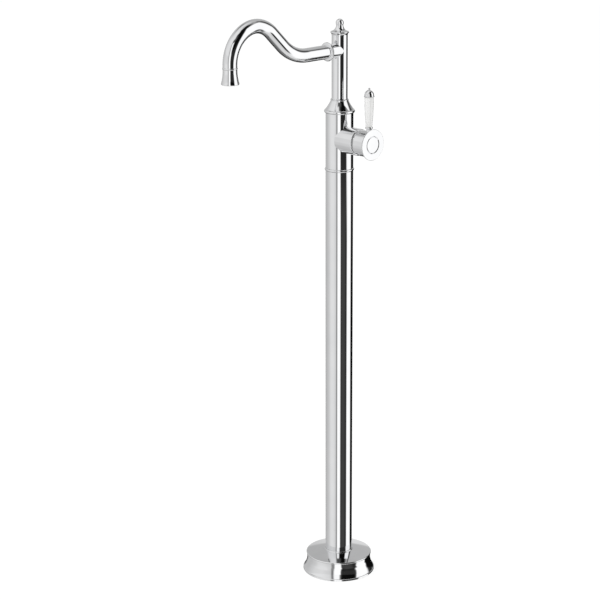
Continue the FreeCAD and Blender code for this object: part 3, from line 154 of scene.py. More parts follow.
# Rounds of screens, bottom to top. Each takes over between two sines of elevation, and
# lists its screens as (degrees to the right of the camera, brightness); a flag is dark.
rounds = [
    (None, None, [
        (-180, 0.25), (-130, 0.17), (-100, 0.25), (-60, 0.5), (-10, 0.7), (40, 0.78), (90, 0.8),
        (120, 0.7), (140, 0.45), (180, 0.25),
    ]),
    (-0.88, -0.82, [
        (-180, 0.12), (-145, 0.08), (-132, 0.12), (-124, 0.45), (-80, 0.6), (-20, 0.62), (0, 1.0),
        (35, 1.0), (55, 0.6), (70, 0.9), (90, 1.1), (98, 0.8), (106, 0.12), (150, 0.08),
        (180, 0.12),
    ]),
    (-0.76, -0.7, [
        (-180, 0.03), (-170, 0.01), (-152, 0.01), (-146, 0.1), (-138, 0.3), (-128, 0.48),
        (-117, 0.55), (-100, 0.59), (-85, 0.68), (-60, 0.74), (-29, 0.68), (-26, 0.3), (-19, 0.24),
        (-16, 0.5), (-13, 1.15), (7, 1.15), (11, 0.06), (45, 0.05), (60, 0.02), (70, 0.02),
        (74, 0.9), (78, 1.15), (94, 1.15), (99, 0.35), (106, 0.03), (140, 0.01), (180, 0.01),
    ]),
    (-0.53, -0.48, [
        (-180, 0.01), (-166, 0.02), (-154, 0.4), (-145, 0.56), (-122, 0.56), (-107, 0.62),
        (-94, 0.67), (-82, 0.78), (-70, 0.84), (-50, 0.84), (-36, 0.76), (-28, 0.72), (-25, 0.32),
        (-18, 0.26), (-15, 0.7), (-12, 1.15), (9, 1.15), (12, 0.14), (16, 0.035), (26, 0.055),
        (46, 0.055), (60, 0.02), (66, 0.08), (71, 1.15), (110, 1.15), (114, 0.1), (117, 0.004),
        (170, 0.002), (180, 0.01),
    ]),
    (-0.26, -0.2, [
        (-180, 0.02), (-174, 0.1), (-160, 0.48), (-145, 0.56), (-123, 0.56), (-108, 0.65),
        (-94, 0.72), (-83, 0.8), (-70, 0.85), (-44, 0.85), (-35, 0.76), (-28, 0.7), (-25, 0.3),
        (-19, 0.25), (-16, 0.7), (-13, 1.15), (6, 1.15), (9, 0.1), (13, 0.016), (30, 0.022),
        (44, 0.018), (56, 0.02), (60, 0.25), (64, 1.15), (107, 1.15), (112, 0.2), (116, 0.004),
        (174, 0.004), (180, 0.02),
    ]),
    (-0.12, 0.0, [
        (-180, 0.8), (-174, 0.66), (-150, 0.56), (-120, 0.6), (-90, 0.75), (-60, 0.8), (-34, 0.72),
        (-27, 0.66), (-24, 0.24), (-19, 0.22), (-16, 0.9), (-13, 1.15), (5, 1.15), (8, 0.08),
        (13, 0.028), (50, 0.028), (60, 0.04), (63, 0.4), (66, 1.15), (106, 1.15), (111, 0.9),
        (117, 0.06), (132, 0.01), (138, 0.12), (147, 0.3), (160, 0.6), (170, 0.75), (180, 0.8),
    ]),
    (0.22, 0.3, [
        (-180, 0.5), (-168, 0.48), (-150, 0.58), (-132, 0.6), (-118, 0.72), (-105, 0.82),
        (-60, 0.88), (-34, 0.8), (-27, 0.7), (-24, 0.28), (-19, 0.26), (-16, 0.95), (-12, 1.1),
        (1, 1.1), (5, 0.25), (9, 0.02), (14, 0.004), (56, 0.004), (61, 0.1), (65, 1.15),
        (103, 1.15), (107, 0.8), (111, 0.3), (115, 0.08), (124, 0.04), (129, 0.12), (136, 0.36),
        (150, 0.5), (165, 0.52), (180, 0.5),
    ]),
    (0.65, 0.69, [
        (-180, 0.48), (-168, 0.46), (-163, 0.3), (-158, 0.03), (-146, 0.05), (-136, 0.24),
        (-124, 0.5), (-110, 0.66), (-93, 0.86), (-44, 0.92), (-31, 0.84), (-26, 0.5), (-20, 0.16),
        (-4, 0.08), (12, 0.1), (24, 0.03), (32, 0.004), (60, 0.004), (70, 0.03), (76, 0.2),
        (84, 0.3), (98, 0.5), (106, 0.3), (114, 0.08), (124, 0.16), (134, 0.4), (146, 0.52),
        (180, 0.48),
    ]),
    (0.76, 0.82, [
        (-180, 0.52), (-140, 0.5), (-100, 0.8), (-50, 0.9), (-16, 0.86), (-8, 0.5), (0, 0.1),
        (16, 0.03), (24, 0.004), (78, 0.004), (86, 0.03), (95, 0.25), (110, 0.36), (130, 0.5),
        (160, 0.6), (180, 0.52),
    ]),
    (0.88, 0.93, [
        (-180, 0.8), (-60, 0.88), (3, 0.86), (12, 0.55), (22, 0.06), (30, 0.006), (72, 0.01),
        (84, 0.08), (95, 0.4), (120, 0.6), (150, 0.72), (180, 0.8),
    ]),
    (0.95, 0.985, [
        (-180, 0.8), (0, 0.8), (40, 0.6), (60, 0.5), (100, 0.6), (150, 0.75), (180, 0.8),
    ]),
]
mirrored_room = None
for low, high, stops in rounds:
    screens = screen_ramp(stops).outputs[0]
    if mirrored_room is None:
        mirrored_room = screens
    else:
        mirrored_room = mix_grey(rise_between(low, high), mirrored_room, screens)

rays = tree.nodes.new("ShaderNodeLightPath")
mirrored = tree.nodes.new("ShaderNodeBackground")
mirrored.inputs["Strength"].default_value = 1.0
link(mirrored_room, mirrored.inputs["Color"])
even = tree.nodes.new("ShaderNodeBackground")
even.inputs["Color"].default_value = (1, 1, 1, 1)
even.inputs["Strength"].default_value = 0.90
white = tree.nodes.new("ShaderNodeBackground")
white.inputs["Color"].default_value = (1, 1, 1, 1)
white.inputs["Strength"].default_value = 1.0
either = tree.nodes.new("ShaderNodeMath")
either.operation = "MAXIMUM"
link(rays.outputs["Is Glossy Ray"], either.inputs[0])
link(rays.outputs["Is Transmission Ray"], either.inputs[1])
matt_or_mirror = tree.nodes.new("ShaderNodeMixShader")
link(either.outputs[0], matt_or_mirror.inputs[0])
link(even.outputs[0], matt_or_mirror.inputs[1])
link(mirrored.outputs[0], matt_or_mirror.inputs[2])
picture = tree.nodes.new("ShaderNodeMixShader")
link(rays.outputs["Is Camera Ray"], picture.inputs[0])
link(matt_or_mirror.outputs[0], picture.inputs[1])
link(white.outputs[0], picture.inputs[2])
world_out = tree.nodes.new("ShaderNodeOutputWorld")
link(picture.outputs[0], world_out.inputs["Surface"])

soft_box = bpy.data.lights.new("overhead_soft_box", "AREA")
soft_box.shape = "RECTANGLE"
soft_box.size = 1.6
soft_box.size_y = 1.2
soft_box.energy = 12.0
box_object = bpy.data.objects.new("overhead_soft_box", soft_box)
bpy.context.scene.collection.objects.link(box_object)
box_object.location = (-0.6, -1.0, 2.4)
lamp_aim = Vector((0, 0, 0.5)) - box_object.location
box_object.rotation_euler = lamp_aim.to_track_quat("-Z", "Y").to_euler()
box_object.visible_glossy = False

bpy.context.scene.view_settings.view_transform = "Standard"


# ---------------------------------------------------------------------------
# Floor. A pale seamless sheet, bright enough to melt into the background and
# matt enough to keep the soft shadow round the foot of the filler.

floor_size = 12.0
just_under = 0.0002
floor_mesh = bpy.data.meshes.new("studio_floor")
corner = floor_size / 2
floor_mesh.from_pydata(
    [(-corner, -corner, 0), (corner, -corner, 0), (corner, corner, 0), (-corner, corner, 0)],
    [],
    [(0, 1, 2, 3)],
)
floor = bpy.data.objects.new("studio_floor", floor_mesh)
bpy.context.scene.collection.objects.link(floor)
floor.location.z = -just_under
floor.visible_glossy = False
paper = bpy.data.materials.new("seamless_paper")
paper.use_nodes = True
tree = paper.node_tree
tree.nodes.clear()
link = tree.links.new
matt = tree.nodes.new("ShaderNodeBsdfDiffuse")
matt.inputs["Color"].default_value = (0.86, 0.86, 0.86, 1)
glow = tree.nodes.new("ShaderNodeEmission")
glow.inputs["Strength"].default_value = 0.80
shaded = tree.nodes.new("ShaderNodeBsdfDiffuse")
shaded.inputs["Color"].default_value = (0.25, 0.25, 0.25, 1)
bright = tree.nodes.new("ShaderNodeAddShader")
link(glow.outputs[0], bright.inputs[0])
link(shaded.outputs[0], bright.inputs[1])
rays = tree.nodes.new("ShaderNodeLightPath")
blend = tree.nodes.new("ShaderNodeMixShader")
link(rays.outputs["Is Camera Ray"], blend.inputs[0])
link(matt.outputs[0], blend.inputs[1])
link(bright.outputs[0], blend.inputs[2])
surface = tree.nodes.new("ShaderNodeOutputMaterial")
link(blend.outputs[0], surface.inputs["Surface"])
floor_mesh.materials.append(paper)


# ---------------------------------------------------------------------------
# Foot casting. Sand-cast brass with machined faces, bolted to the floor
# inside the base cover; the column slips over its spigot.

mm = 0.001


def finish_node(name, material):
    """Gives a carried-over solid its finish."""
    node = cad[name]
    if not node.material_slots:
        node.data.materials.append(material)
    for slot in node.material_slots:
        slot.link = "OBJECT"
        slot.material = material


def worked_surface(name, colours, roughness, metallic, grain, grain_scale, bump):
    """A surface whose colour, gloss and relief all vary with a fine and a coarse grain.

    colours are the dark and light ends, roughness its low and high ends, grain how far the
    grain is squeezed along x, y and z, grain_scale the coarse and fine grains per metre,
    bump the depth of the relief in millimetres.
    """
    material = bpy.data.materials.new(name)
    material.use_nodes = True
    nodes = material.node_tree.nodes
    join = material.node_tree.links.new
    shader = nodes["Principled BSDF"]
    shader.inputs["Metallic"].default_value = metallic
    place = nodes.new("ShaderNodeTexCoord")
    stretch = nodes.new("ShaderNodeMapping")
    stretch.inputs["Scale"].default_value = grain
    join(place.outputs["Object"], stretch.inputs["Vector"])
    coarse = nodes.new("ShaderNodeTexNoise")
    coarse.inputs["Scale"].default_value = grain_scale[0]
    coarse.inputs["Detail"].default_value = 4.0
    join(stretch.outputs[0], coarse.inputs["Vector"])
    fine = nodes.new("ShaderNodeTexNoise")
    fine.inputs["Scale"].default_value = grain_scale[1]
    fine.inputs["Detail"].default_value = 3.0
    join(stretch.outputs[0], fine.inputs["Vector"])
    tint = nodes.new("ShaderNodeValToRGB")
    tint.color_ramp.elements[0].position = 0.35
    tint.color_ramp.elements[0].color = (*colours[0], 1)
    tint.color_ramp.elements[1].position = 0.65
    tint.color_ramp.elements[1].color = (*colours[1], 1)
    join(coarse.outputs["Fac"], tint.inputs[0])
    join(tint.outputs[0], shader.inputs["Base Color"])
    gloss = nodes.new("ShaderNodeMapRange")
    gloss.inputs["From Min"].default_value = 0.3
    gloss.inputs["From Max"].default_value = 0.7
    gloss.inputs["To Min"].default_value = roughness[0]
    gloss.inputs["To Max"].default_value = roughness[1]
    join(coarse.outputs["Fac"], gloss.inputs["Value"])
    join(gloss.outputs[0], shader.inputs["Roughness"])
    relief = nodes.new("ShaderNodeBump")
    relief.inputs["Strength"].default_value = 0.6
    relief.inputs["Distance"].default_value = bump * mm
    join(fine.outputs["Fac"], relief.inputs["Height"])
    join(relief.outputs[0], shader.inputs["Normal"])
    return material


cast_brass = worked_surface(
    "cast_brass", colours=((0.50, 0.34, 0.13), (0.72, 0.53, 0.24)),
    roughness=(0.28, 0.48), metallic=1.0,
    grain=(1, 1, 1), grain_scale=(60, 900), bump=0.08,
)
finish_node("floor_plate", cast_brass)


# ---------------------------------------------------------------------------
# Column. Brass tube, drawn, polished and chromium plated; it stands on the
# foot's boss and is held there by three grub screws under the cover.

# millimetres or radians too small to matter
hair = 1e-6


def runs_to_axis(points):
    """Tells whether a section starts and ends on the axis, and so spins into a solid."""
    return points[0][0] < hair and points[-1][0] < hair


def on_lathe(points, axis="Z", at=(0, 0, 0), segments=144):
    """Turned form: half-section points (radius, distance along the axis) in millimetres.

    A section that starts and ends on the axis is a solid, any other closes into a ring.
    """
    form = bmesh.new()
    rings = []
    for radius, along in points:
        if radius < hair:
            rings.append([form.verts.new((0, 0, along))])
            continue
        ring = []
        for k in range(segments):
            angle = full_turn * k / segments
            ring.append(form.verts.new((radius * cos(angle), radius * sin(angle), along)))
        rings.append(ring)
    pairs = list(zip(rings, rings[1:]))
    if not runs_to_axis(points):
        pairs.append((rings[-1], rings[0]))
    for first, second in pairs:
        for k in range(segments):
            following = (k + 1) % segments
            if len(first) == 1 and len(second) == 1:
                continue
            if len(first) == 1:
                form.faces.new((first[0], second[k], second[following]))
            elif len(second) == 1:
                form.faces.new((first[following], first[k], second[0]))
            else:
                form.faces.new((first[k], second[k], second[following], first[following]))
    turns = {
        "Z": Matrix.Identity(4),
        "X": Matrix(((0, 0, 1, 0), (0, 1, 0, 0), (-1, 0, 0, 0), (0, 0, 0, 1))),
        "-Y": Matrix(((1, 0, 0, 0), (0, 0, -1, 0), (0, 1, 0, 0), (0, 0, 0, 1))),
    }
    bmesh.ops.transform(form, matrix=turns[axis], verts=form.verts)
    bmesh.ops.translate(form, vec=at, verts=form.verts)
    bmesh.ops.scale(form, vec=(mm, mm, mm), verts=form.verts)
    bmesh.ops.recalc_face_normals(form, faces=form.faces)
    return form


# where an arc has its centre, seen on the way from its start to its end
on_left, on_right = 1, -1


def bow(start, end, radius, side, steps=16):
    """Points along the arc from start to end, without start.

    Its radius is what a name with _curve gives; side is on_left or on_right.
    """
    first = Vector(start)
    last = Vector(end)
    chord = last - first
    half = chord.length / 2
    rise = sqrt(max(radius * radius - half * half, 0))
    left = Vector((-chord.y, chord.x)).normalized()
    centre = (first + last) / 2 + left * rise * side
    from_angle = atan2(first.y - centre.y, first.x - centre.x)
    to_angle = atan2(last.y - centre.y, last.x - centre.x)
    sweep = (to_angle - from_angle) % full_turn
    if side < 0:
        sweep -= full_turn
    if abs(sweep) > pi + hair:
        sweep -= full_turn if sweep > 0 else -full_turn
    path = []
    for k in range(1, steps + 1):
        angle = from_angle + sweep * k / steps
        path.append((centre.x + radius * cos(angle), centre.y + radius * sin(angle)))
    return path


# a bend up to this is part of a curve, and a round takes at most this share of a side
slight_bend = radians(14)
side_share = 0.4


def eased(points, radius, steps=3):
    """Breaks every sharp corner of a section with a small round, as polishing does."""
    count = len(points)
    closed = not runs_to_axis(points)
    out = []
    for index, point in enumerate(points):
        here = Vector(point)
        if not closed and index in (0, count - 1):
            out.append(point)
            continue
        before = Vector(points[index - 1])
        after = Vector(points[(index + 1) % count])
        back = before - here
        forward = after - here
        if back.length < hair or forward.length < hair:
            out.append(point)
            continue
        if pi - back.angle(forward) < slight_bend:
            out.append(point)
            continue
        reach = min(radius, back.length * side_share, forward.length * side_share)
        start = here + back.normalized() * reach
        end = here + forward.normalized() * reach
        for k in range(steps + 1):
            share = k / steps
            spot = start * (1 - share) ** 2 + here * 2 * share * (1 - share) + end * share ** 2
            out.append((spot.x, spot.y))
    return out


# two faces that meet at more than this keep a crisp edge between them
crease = radians(40)


def finished(name, forms, material, body, slot, *nodes):
    """Makes one piece of its forms, smooths it, and lets it stand for its solid."""
    mesh = bpy.data.meshes.new(name)
    whole = bmesh.new()
    for form in forms:
        part = bpy.data.meshes.new("part")
        form.to_mesh(part)
        whole.from_mesh(part)
        form.free()
        bpy.data.meshes.remove(part)
    whole.to_mesh(mesh)
    whole.free()
    for face in mesh.polygons:
        face.use_smooth = True
    mesh.set_sharp_from_angle(angle=crease)
    mesh.materials.append(material)
    piece = bpy.data.objects.new(name, mesh)
    bpy.context.scene.collection.objects.link(piece)
    even_shading = piece.modifiers.new("even_shading", "WEIGHTED_NORMAL")
    even_shading.keep_sharp = True
    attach(piece, body)
    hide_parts(*nodes)
    return piece


def plated(name, haze, scratches):
    """Bright chromium plate: a cool mirror with faint flaws.

    haze is the roughness where it is wiped dull, scratches the strength of the hairlines.
    """
    material = bpy.data.materials.new(name)
    material.use_nodes = True
    nodes = material.node_tree.nodes
    join = material.node_tree.links.new
    shader = nodes["Principled BSDF"]
    shader.inputs["Metallic"].default_value = 1.0
    place = nodes.new("ShaderNodeTexCoord")
    wipes = nodes.new("ShaderNodeTexNoise")
    wipes.inputs["Scale"].default_value = 34.0
    wipes.inputs["Detail"].default_value = 5.0
    wipes.inputs["Roughness"].default_value = 0.55
    join(place.outputs["Object"], wipes.inputs["Vector"])
    cloud = nodes.new("ShaderNodeValToRGB")
    cloud.color_ramp.elements[0].position = 0.35
    cloud.color_ramp.elements[0].color = (0.835, 0.84, 0.85, 1)
    cloud.color_ramp.elements[1].position = 0.70
    cloud.color_ramp.elements[1].color = (0.875, 0.878, 0.885, 1)
    join(wipes.outputs["Fac"], cloud.inputs[0])
    join(cloud.outputs[0], shader.inputs["Base Color"])
    spots = nodes.new("ShaderNodeTexVoronoi")
    spots.inputs["Scale"].default_value = 95.0
    spots.inputs["Randomness"].default_value = 1.0
    join(place.outputs["Object"], spots.inputs["Vector"])
    ring = nodes.new("ShaderNodeMapRange")
    ring.inputs["From Min"].default_value = 0.03
    ring.inputs["From Max"].default_value = 0.09
    ring.inputs["To Min"].default_value = haze * 0.8
    ring.inputs["To Max"].default_value = 0.0
    join(spots.outputs["Distance"], ring.inputs["Value"])
    film = nodes.new("ShaderNodeMapRange")
    film.inputs["From Min"].default_value = 0.35
    film.inputs["From Max"].default_value = 0.75
    film.inputs["To Min"].default_value = 0.012
    film.inputs["To Max"].default_value = haze
    join(wipes.outputs["Fac"], film.inputs["Value"])
    together = nodes.new("ShaderNodeMath")
    together.operation = "ADD"
    join(film.outputs[0], together.inputs[0])
    join(ring.outputs[0], together.inputs[1])
    join(together.outputs[0], shader.inputs["Roughness"])
    hairlines = nodes.new("ShaderNodeTexNoise")
    hairlines.inputs["Scale"].default_value = 700.0
    hairlines.inputs["Detail"].default_value = 2.0
    run = nodes.new("ShaderNodeMapping")
    run.inputs["Scale"].default_value = (1.0, 1.0, 0.12)
    join(place.outputs["Object"], run.inputs["Vector"])
    join(run.outputs[0], hairlines.inputs["Vector"])
    relief = nodes.new("ShaderNodeBump")
    relief.inputs["Strength"].default_value = scratches
    relief.inputs["Distance"].default_value = 0.00002
    join(hairlines.outputs["Fac"], relief.inputs["Height"])
    join(relief.outputs[0], shader.inputs["Normal"])
    return material


chrome = plated("chromium_plate", haze=0.022, scratches=0.05)

column_radius = 21.0
column_wall = 1.5
column_foot = 16.0
column_top = 657.0
column_bore = column_radius - column_wall
column = on_lathe(eased([
    (column_bore, column_foot),
    (column_radius, column_foot),
    (column_radius, column_top),
    (column_bore, column_top),
], radius=0.25))
finished("column", [column], chrome, "stand", "chrome", "column_tube")

turned_steel = worked_surface(
    "turned_steel", colours=((0.48, 0.48, 0.49), (0.66, 0.66, 0.67)),
    roughness=(0.22, 0.38), metallic=1.0,
    grain=(1, 1, 6), grain_scale=(140, 1500), bump=0.02,
)
finish_node("column_screws", turned_steel)


# ---------------------------------------------------------------------------
# Base cover. Spun brass shell, chromium plated: a lipped foot, a hollow
# skirt, a beaded rim and a shallow dome; it slides down to hide the bolts.

cover_wall = 1.2
lip_radius = 56.9
lip_height = 2.5
skirt_foot = (56.0, 2.95)
waist = (50.6, 20.5)
skirt_curve = 36.0
rim_seat = 51.0
rim_bottom = 26.7
rim_top = 29.3
rim_curve = 1.456
dome_curve = 214.0
collar_radius = 22.3
collar_bore = 21.1
collar_foot = 33.6
collar_top = 35.3
collar_round = 1.0
outside = [(lip_radius, 0.0), (lip_radius, lip_height), skirt_foot]
outside += bow(outside[-1], waist, skirt_curve, on_right, steps=24)
outside += [(rim_seat, rim_bottom)]
outside += bow(outside[-1], (rim_seat, rim_top), rim_curve, on_left, steps=14)
outside += bow(outside[-1], (collar_radius, collar_foot), dome_curve, on_left, steps=40)
outside += [(collar_radius, collar_top - collar_round)]
outside += bow(
    outside[-1], (collar_radius - collar_round, collar_top), collar_round, on_left, steps=8,
)
outside += [(collar_bore, collar_top - 0.1)]
inside = [(collar_bore, collar_foot - cover_wall)]
inside += bow(
    inside[-1], (rim_seat - cover_wall, rim_top - cover_wall), dome_curve - cover_wall,
    on_right, steps=24,
)
inside += [(waist[0] - cover_wall, waist[1])]
inside += bow(
    inside[-1], (skirt_foot[0] - cover_wall, skirt_foot[1]), skirt_curve + cover_wall,
    on_left, steps=24,
)
inside += [(lip_radius - cover_wall, lip_height), (lip_radius - cover_wall, 0.0)]
cover = on_lathe(eased(outside + inside, radius=0.3), segments=192)
finished("base_cover_shell", [cover], chrome, "stand", "chrome", "base_cover")

black_rubber = worked_surface(
    "black_rubber", colours=((0.018, 0.018, 0.018), (0.035, 0.034, 0.033)),
    roughness=(0.55, 0.75), metallic=0.0,
    grain=(1, 1, 1), grain_scale=(180, 1800), bump=0.03,
)
finish_node("cover_seal", black_rubber)


# ---------------------------------------------------------------------------
# Supply pipes. Two drawn stainless pipes inside the column, with brass
# compression nuts where they enter the foot.

drawn_pipe = worked_surface(
    "drawn_pipe", colours=((0.50, 0.50, 0.50), (0.64, 0.64, 0.63)),
    roughness=(0.25, 0.42), metallic=1.0,
    grain=(8, 8, 0.4), grain_scale=(160, 1200), bump=0.02,
)
finish_node("hot_supply_pipe", drawn_pipe)
finish_node("cold_supply_pipe", drawn_pipe)
nut_brass = worked_surface(
    "nut_brass", colours=((0.55, 0.39, 0.16), (0.74, 0.56, 0.27)),
    roughness=(0.20, 0.36), metallic=1.0,
    grain=(1, 1, 1), grain_scale=(120, 1400), bump=0.03,
)
finish_node("pipe_nuts", nut_brass)


# ---------------------------------------------------------------------------
# Joint ring. A narrow half-round bead, turned from brass and plated, that
# covers the joint between the column and the mixer body.

ring_foot = column_top
ring_top = 661.0
ring_curve = 2.129
ring_seat = column_radius - 0.15
ring_corner = 0.1
ring_section = [
    (column_bore, ring_foot), (ring_seat, ring_foot), (column_radius, ring_foot + ring_corner),
]
ring_bulge = bow((column_radius, ring_foot), (column_radius, ring_top), ring_curve, on_left)
ring_section += ring_bulge[1:-1]
ring_section += [
    (column_radius, ring_top - ring_corner), (ring_seat, ring_top), (column_bore, ring_top),
]
joint_bead = on_lathe(ring_section)
finished("joint_bead", [joint_bead], chrome, "stand", "chrome", "joint_ring")


# ---------------------------------------------------------------------------
# Mixer body. One brass casting, polished and plated: an upright barrel and a
# round branch for the cartridge, with a softly rounded mouth.

body_top = 746.0
body_bore = 17.5
handle_axis = 706.0
branch_radius = 20.3
branch_bore = 18.3
branch_root = 9.0
branch_reach = 44.0
chamber_floor = 30.0
mouth_round = 1.95
barrel = on_lathe(eased([
    (body_bore, ring_top),
    (column_radius, ring_top),
    (column_radius, body_top),
    (body_bore, body_top),
], radius=0.2))
branch_section = [
    (branch_bore, chamber_floor),
    (branch_bore, branch_reach),
    (branch_radius - mouth_round, branch_reach),
]
branch_section += bow(
    branch_section[-1], (branch_radius, branch_reach - mouth_round), mouth_round,
    on_right, steps=10,
)
branch_section += [(branch_radius, branch_root), (branch_bore, branch_root)]
branch = on_lathe(branch_section, axis="X", at=(0, 0, handle_axis))
finished("mixer_casting", [barrel, branch], chrome, "stand", "chrome", "mixer_body")


# ---------------------------------------------------------------------------
# Shoulder bonnet. Turned brass, plated, screwed into the body over the
# riser's flange: a full bead, a slightly hollow cone and a thin lip at its mouth.

bonnet_foot = 738.0
thread_radius = 17.45
flange_room = 15.3
bead_seat = 21.6
bead_height = 5.0
bead_curve = 2.636
cone_top = (13.1, body_top + 18.8)
cone_curve = 72.0
mouth_lip = 13.9
lip_bottom = body_top + 19.3
lip_mouth = body_top + 20.6
lip_corner = 0.6
riser_room = 12.3
room_top = body_top + 10.0
bonnet = [
    (flange_room, bonnet_foot), (thread_radius, bonnet_foot), (thread_radius, body_top),
    (bead_seat, body_top),
]
bonnet += bow(bonnet[-1], (bead_seat, body_top + bead_height), bead_curve, on_left)
bonnet += bow(bonnet[-1], cone_top, cone_curve, on_right, steps=20)
bonnet += [
    (mouth_lip, lip_bottom),
    (mouth_lip, lip_mouth - lip_corner),
    (mouth_lip - lip_corner, lip_mouth),
    (riser_room, lip_mouth),
    (riser_room, room_top),
    (flange_room, room_top),
]
bonnet_form = on_lathe(eased(bonnet, radius=0.25))
finished("bonnet", [bonnet_form], chrome, "stand", "chrome", "shoulder_bonnet")

slippery_plastic = worked_surface(
    "acetal", colours=((0.72, 0.72, 0.69), (0.86, 0.86, 0.83)),
    roughness=(0.35, 0.5), metallic=0.0,
    grain=(1, 1, 1), grain_scale=(90, 1100), bump=0.02,
)
finish_node("thrust_washer", slippery_plastic)
finish_node("swivel_bush", slippery_plastic)


# ---------------------------------------------------------------------------
# Cartridge. A moulded housing and base, two lapped ceramic discs, rubber
# port seals, a brass driver and nut, and a collar on a steel pin.

moulded = worked_surface(
    "moulded_grey", colours=((0.20, 0.21, 0.23), (0.28, 0.29, 0.31)),
    roughness=(0.42, 0.58), metallic=0.0,
    grain=(1, 1, 1), grain_scale=(120, 1600), bump=0.03,
)
for name in ("cartridge_base", "cartridge_housing", "cartridge_carrier"):
    finish_node(name, moulded)
lapped_ceramic = worked_surface(
    "lapped_ceramic", colours=((0.80, 0.79, 0.75), (0.90, 0.89, 0.86)),
    roughness=(0.16, 0.26), metallic=0.0,
    grain=(1, 1, 1), grain_scale=(200, 2400), bump=0.006,
)
finish_node("fixed_ceramic_disc", lapped_ceramic)
finish_node("moving_ceramic_disc", lapped_ceramic)
finish_node("port_seals", black_rubber)
finish_node("cartridge_nut", nut_brass)
finish_node("disc_driver", nut_brass)
finish_node("pivot_pin", turned_steel)


# ---------------------------------------------------------------------------
# Dome. A thin plated cap screwed into the branch behind the handle; its ball
# shape is centred on the lever's pivot so that the hub can swing over it.

pivot = 33.0
dome_radius = 21.31
dome_wall = 1.2
dome_foot = 34.0
mouth = 11.2
skirt = 18.25
inner = dome_radius - dome_wall
skirt_bore = skirt - dome_wall
rim_radius = sqrt(dome_radius ** 2 - (branch_reach - pivot) ** 2)
dome = [(skirt_bore, dome_foot), (skirt_bore, pivot + sqrt(inner ** 2 - skirt_bore ** 2))]
dome += bow(dome[-1], (mouth, pivot + sqrt(inner ** 2 - mouth ** 2)), inner, on_left)
dome += [(mouth, pivot + sqrt(dome_radius ** 2 - mouth ** 2))]
dome += bow(dome[-1], (rim_radius, branch_reach), dome_radius, on_right, steps=20)
dome += [(skirt, branch_reach - 0.1), (skirt, dome_foot)]
dome_form = on_lathe(eased(dome, radius=0.2), axis="X", at=(0, 0, handle_axis))
finished("ball_dome", [dome_form], chrome, "stand", "chrome", "cartridge_dome")


# ---------------------------------------------------------------------------
# Handle hub. A plated sleeve on the square steel stem; its front wall flares
# out to meet the face, and a grub screw from below grips the stem.

finish_node("cartridge_stem", turned_steel)
finish_node("hub_grub_screw", turned_steel)

hub_radius = 19.5
hub_bore = 18.2
hub_back = 46.8
hub_front = 69.0
hub_bevel = 0.5
front_wall = 3.0
flare_start = 65.0
flare_radius = 21.4
flare_curve = 6.0
boss_radius = 8.0
boss_back = 64.3
hub = [(0, boss_back), (0, hub_front), (flare_radius, hub_front)]
hub += bow(hub[-1], (hub_radius, flare_start), flare_curve, on_left, steps=14)
hub += [
    (hub_radius, hub_back + hub_bevel),
    (hub_radius - hub_bevel, hub_back),
    (hub_bore, hub_back),
    (hub_bore, hub_front - front_wall),
    (boss_radius, hub_front - front_wall),
    (boss_radius, boss_back),
    (0, boss_back),
]
sleeve = on_lathe(eased(hub, radius=0.3), axis="X", at=(0, 0, handle_axis))
finished("hub_sleeve", [sleeve], chrome, "handle", "chrome", "handle_hub")


# ---------------------------------------------------------------------------
# Hub face. A thin bright disc with a full round edge pressed into the hub,
# and a plain button let flush into a sloping recess in its middle.

face_front = 70.5
face_radius = 23.5
recess = 69.3
recess_slope = 1.48
fit_gap = 0.15
button_radius = 11.8
edge_swell = 0.7
edge_curve = 0.752
stud_radius = 6.0
stud_back = 66.4
face = [
    (0, stud_back),
    (0, recess),
    (button_radius + fit_gap, recess),
    (button_radius + fit_gap + recess_slope, face_front),
    (face_radius - edge_swell, face_front),
]
face += bow(face[-1], (face_radius - edge_swell, hub_front), edge_curve, on_right, steps=12)
face += [(stud_radius, hub_front), (stud_radius, stud_back), (0, stud_back)]
front_disc = on_lathe(eased(face, radius=0.06), axis="X", at=(0, 0, handle_axis), segments=192)
finished("face_disc", [front_disc], chrome, "handle", "chrome", "hub_face")

button_crown = 0.25
crown_curve = 278.6
button = [(0, recess), (0, face_front + button_crown)]
button += bow(button[-1], (button_radius, face_front), crown_curve, on_right, steps=10)
button += [(button_radius, recess), (0, recess)]
plug = on_lathe(eased(button, radius=0.12), axis="X", at=(0, 0, handle_axis), segments=192)
finished("plain_button", [plug], chrome, "handle", "chrome", "index_button")


# ---------------------------------------------------------------------------
# Lever neck. A small turned and plated spool that stands on the hub, with a
# spread foot, a drawn-in waist and a round collar under the grip.

lever_x = 62.0
neck_foot = 725.0
rod_room = 2.55
foot_radius = 4.4
foot_height = 0.9
waist_radius = 3.6
waist_height = 2.9
waist_curve = 2.6
neck_collar = 5.3
neck_collar_foot = 4.9
neck_collar_curve = 2.31
neck_height = 7.5
neck = [(rod_room, 0), (foot_radius, 0), (foot_radius, foot_height)]
neck += bow(neck[-1], (waist_radius, waist_height), waist_curve, on_right, steps=10)
neck += bow(neck[-1], (neck_collar, neck_collar_foot), waist_curve, on_right, steps=10)
neck += bow(neck[-1], (neck_collar, neck_height), neck_collar_curve, on_left, steps=12)
neck += [(rod_room, neck_height)]
spool = on_lathe(eased(neck, radius=0.12), at=(lever_x, 0, neck_foot), segments=96)
finished("neck_spool", [spool], chrome, "handle", "chrome", "lever_neck")
finish_node("lever_rod", turned_steel)
finish_node("grip_washers", slippery_plastic)


# ---------------------------------------------------------------------------
# Lever grip. White glazed porcelain, slip cast with a gentle swell, wider at
# the top, threaded on the rod between two thin washers.

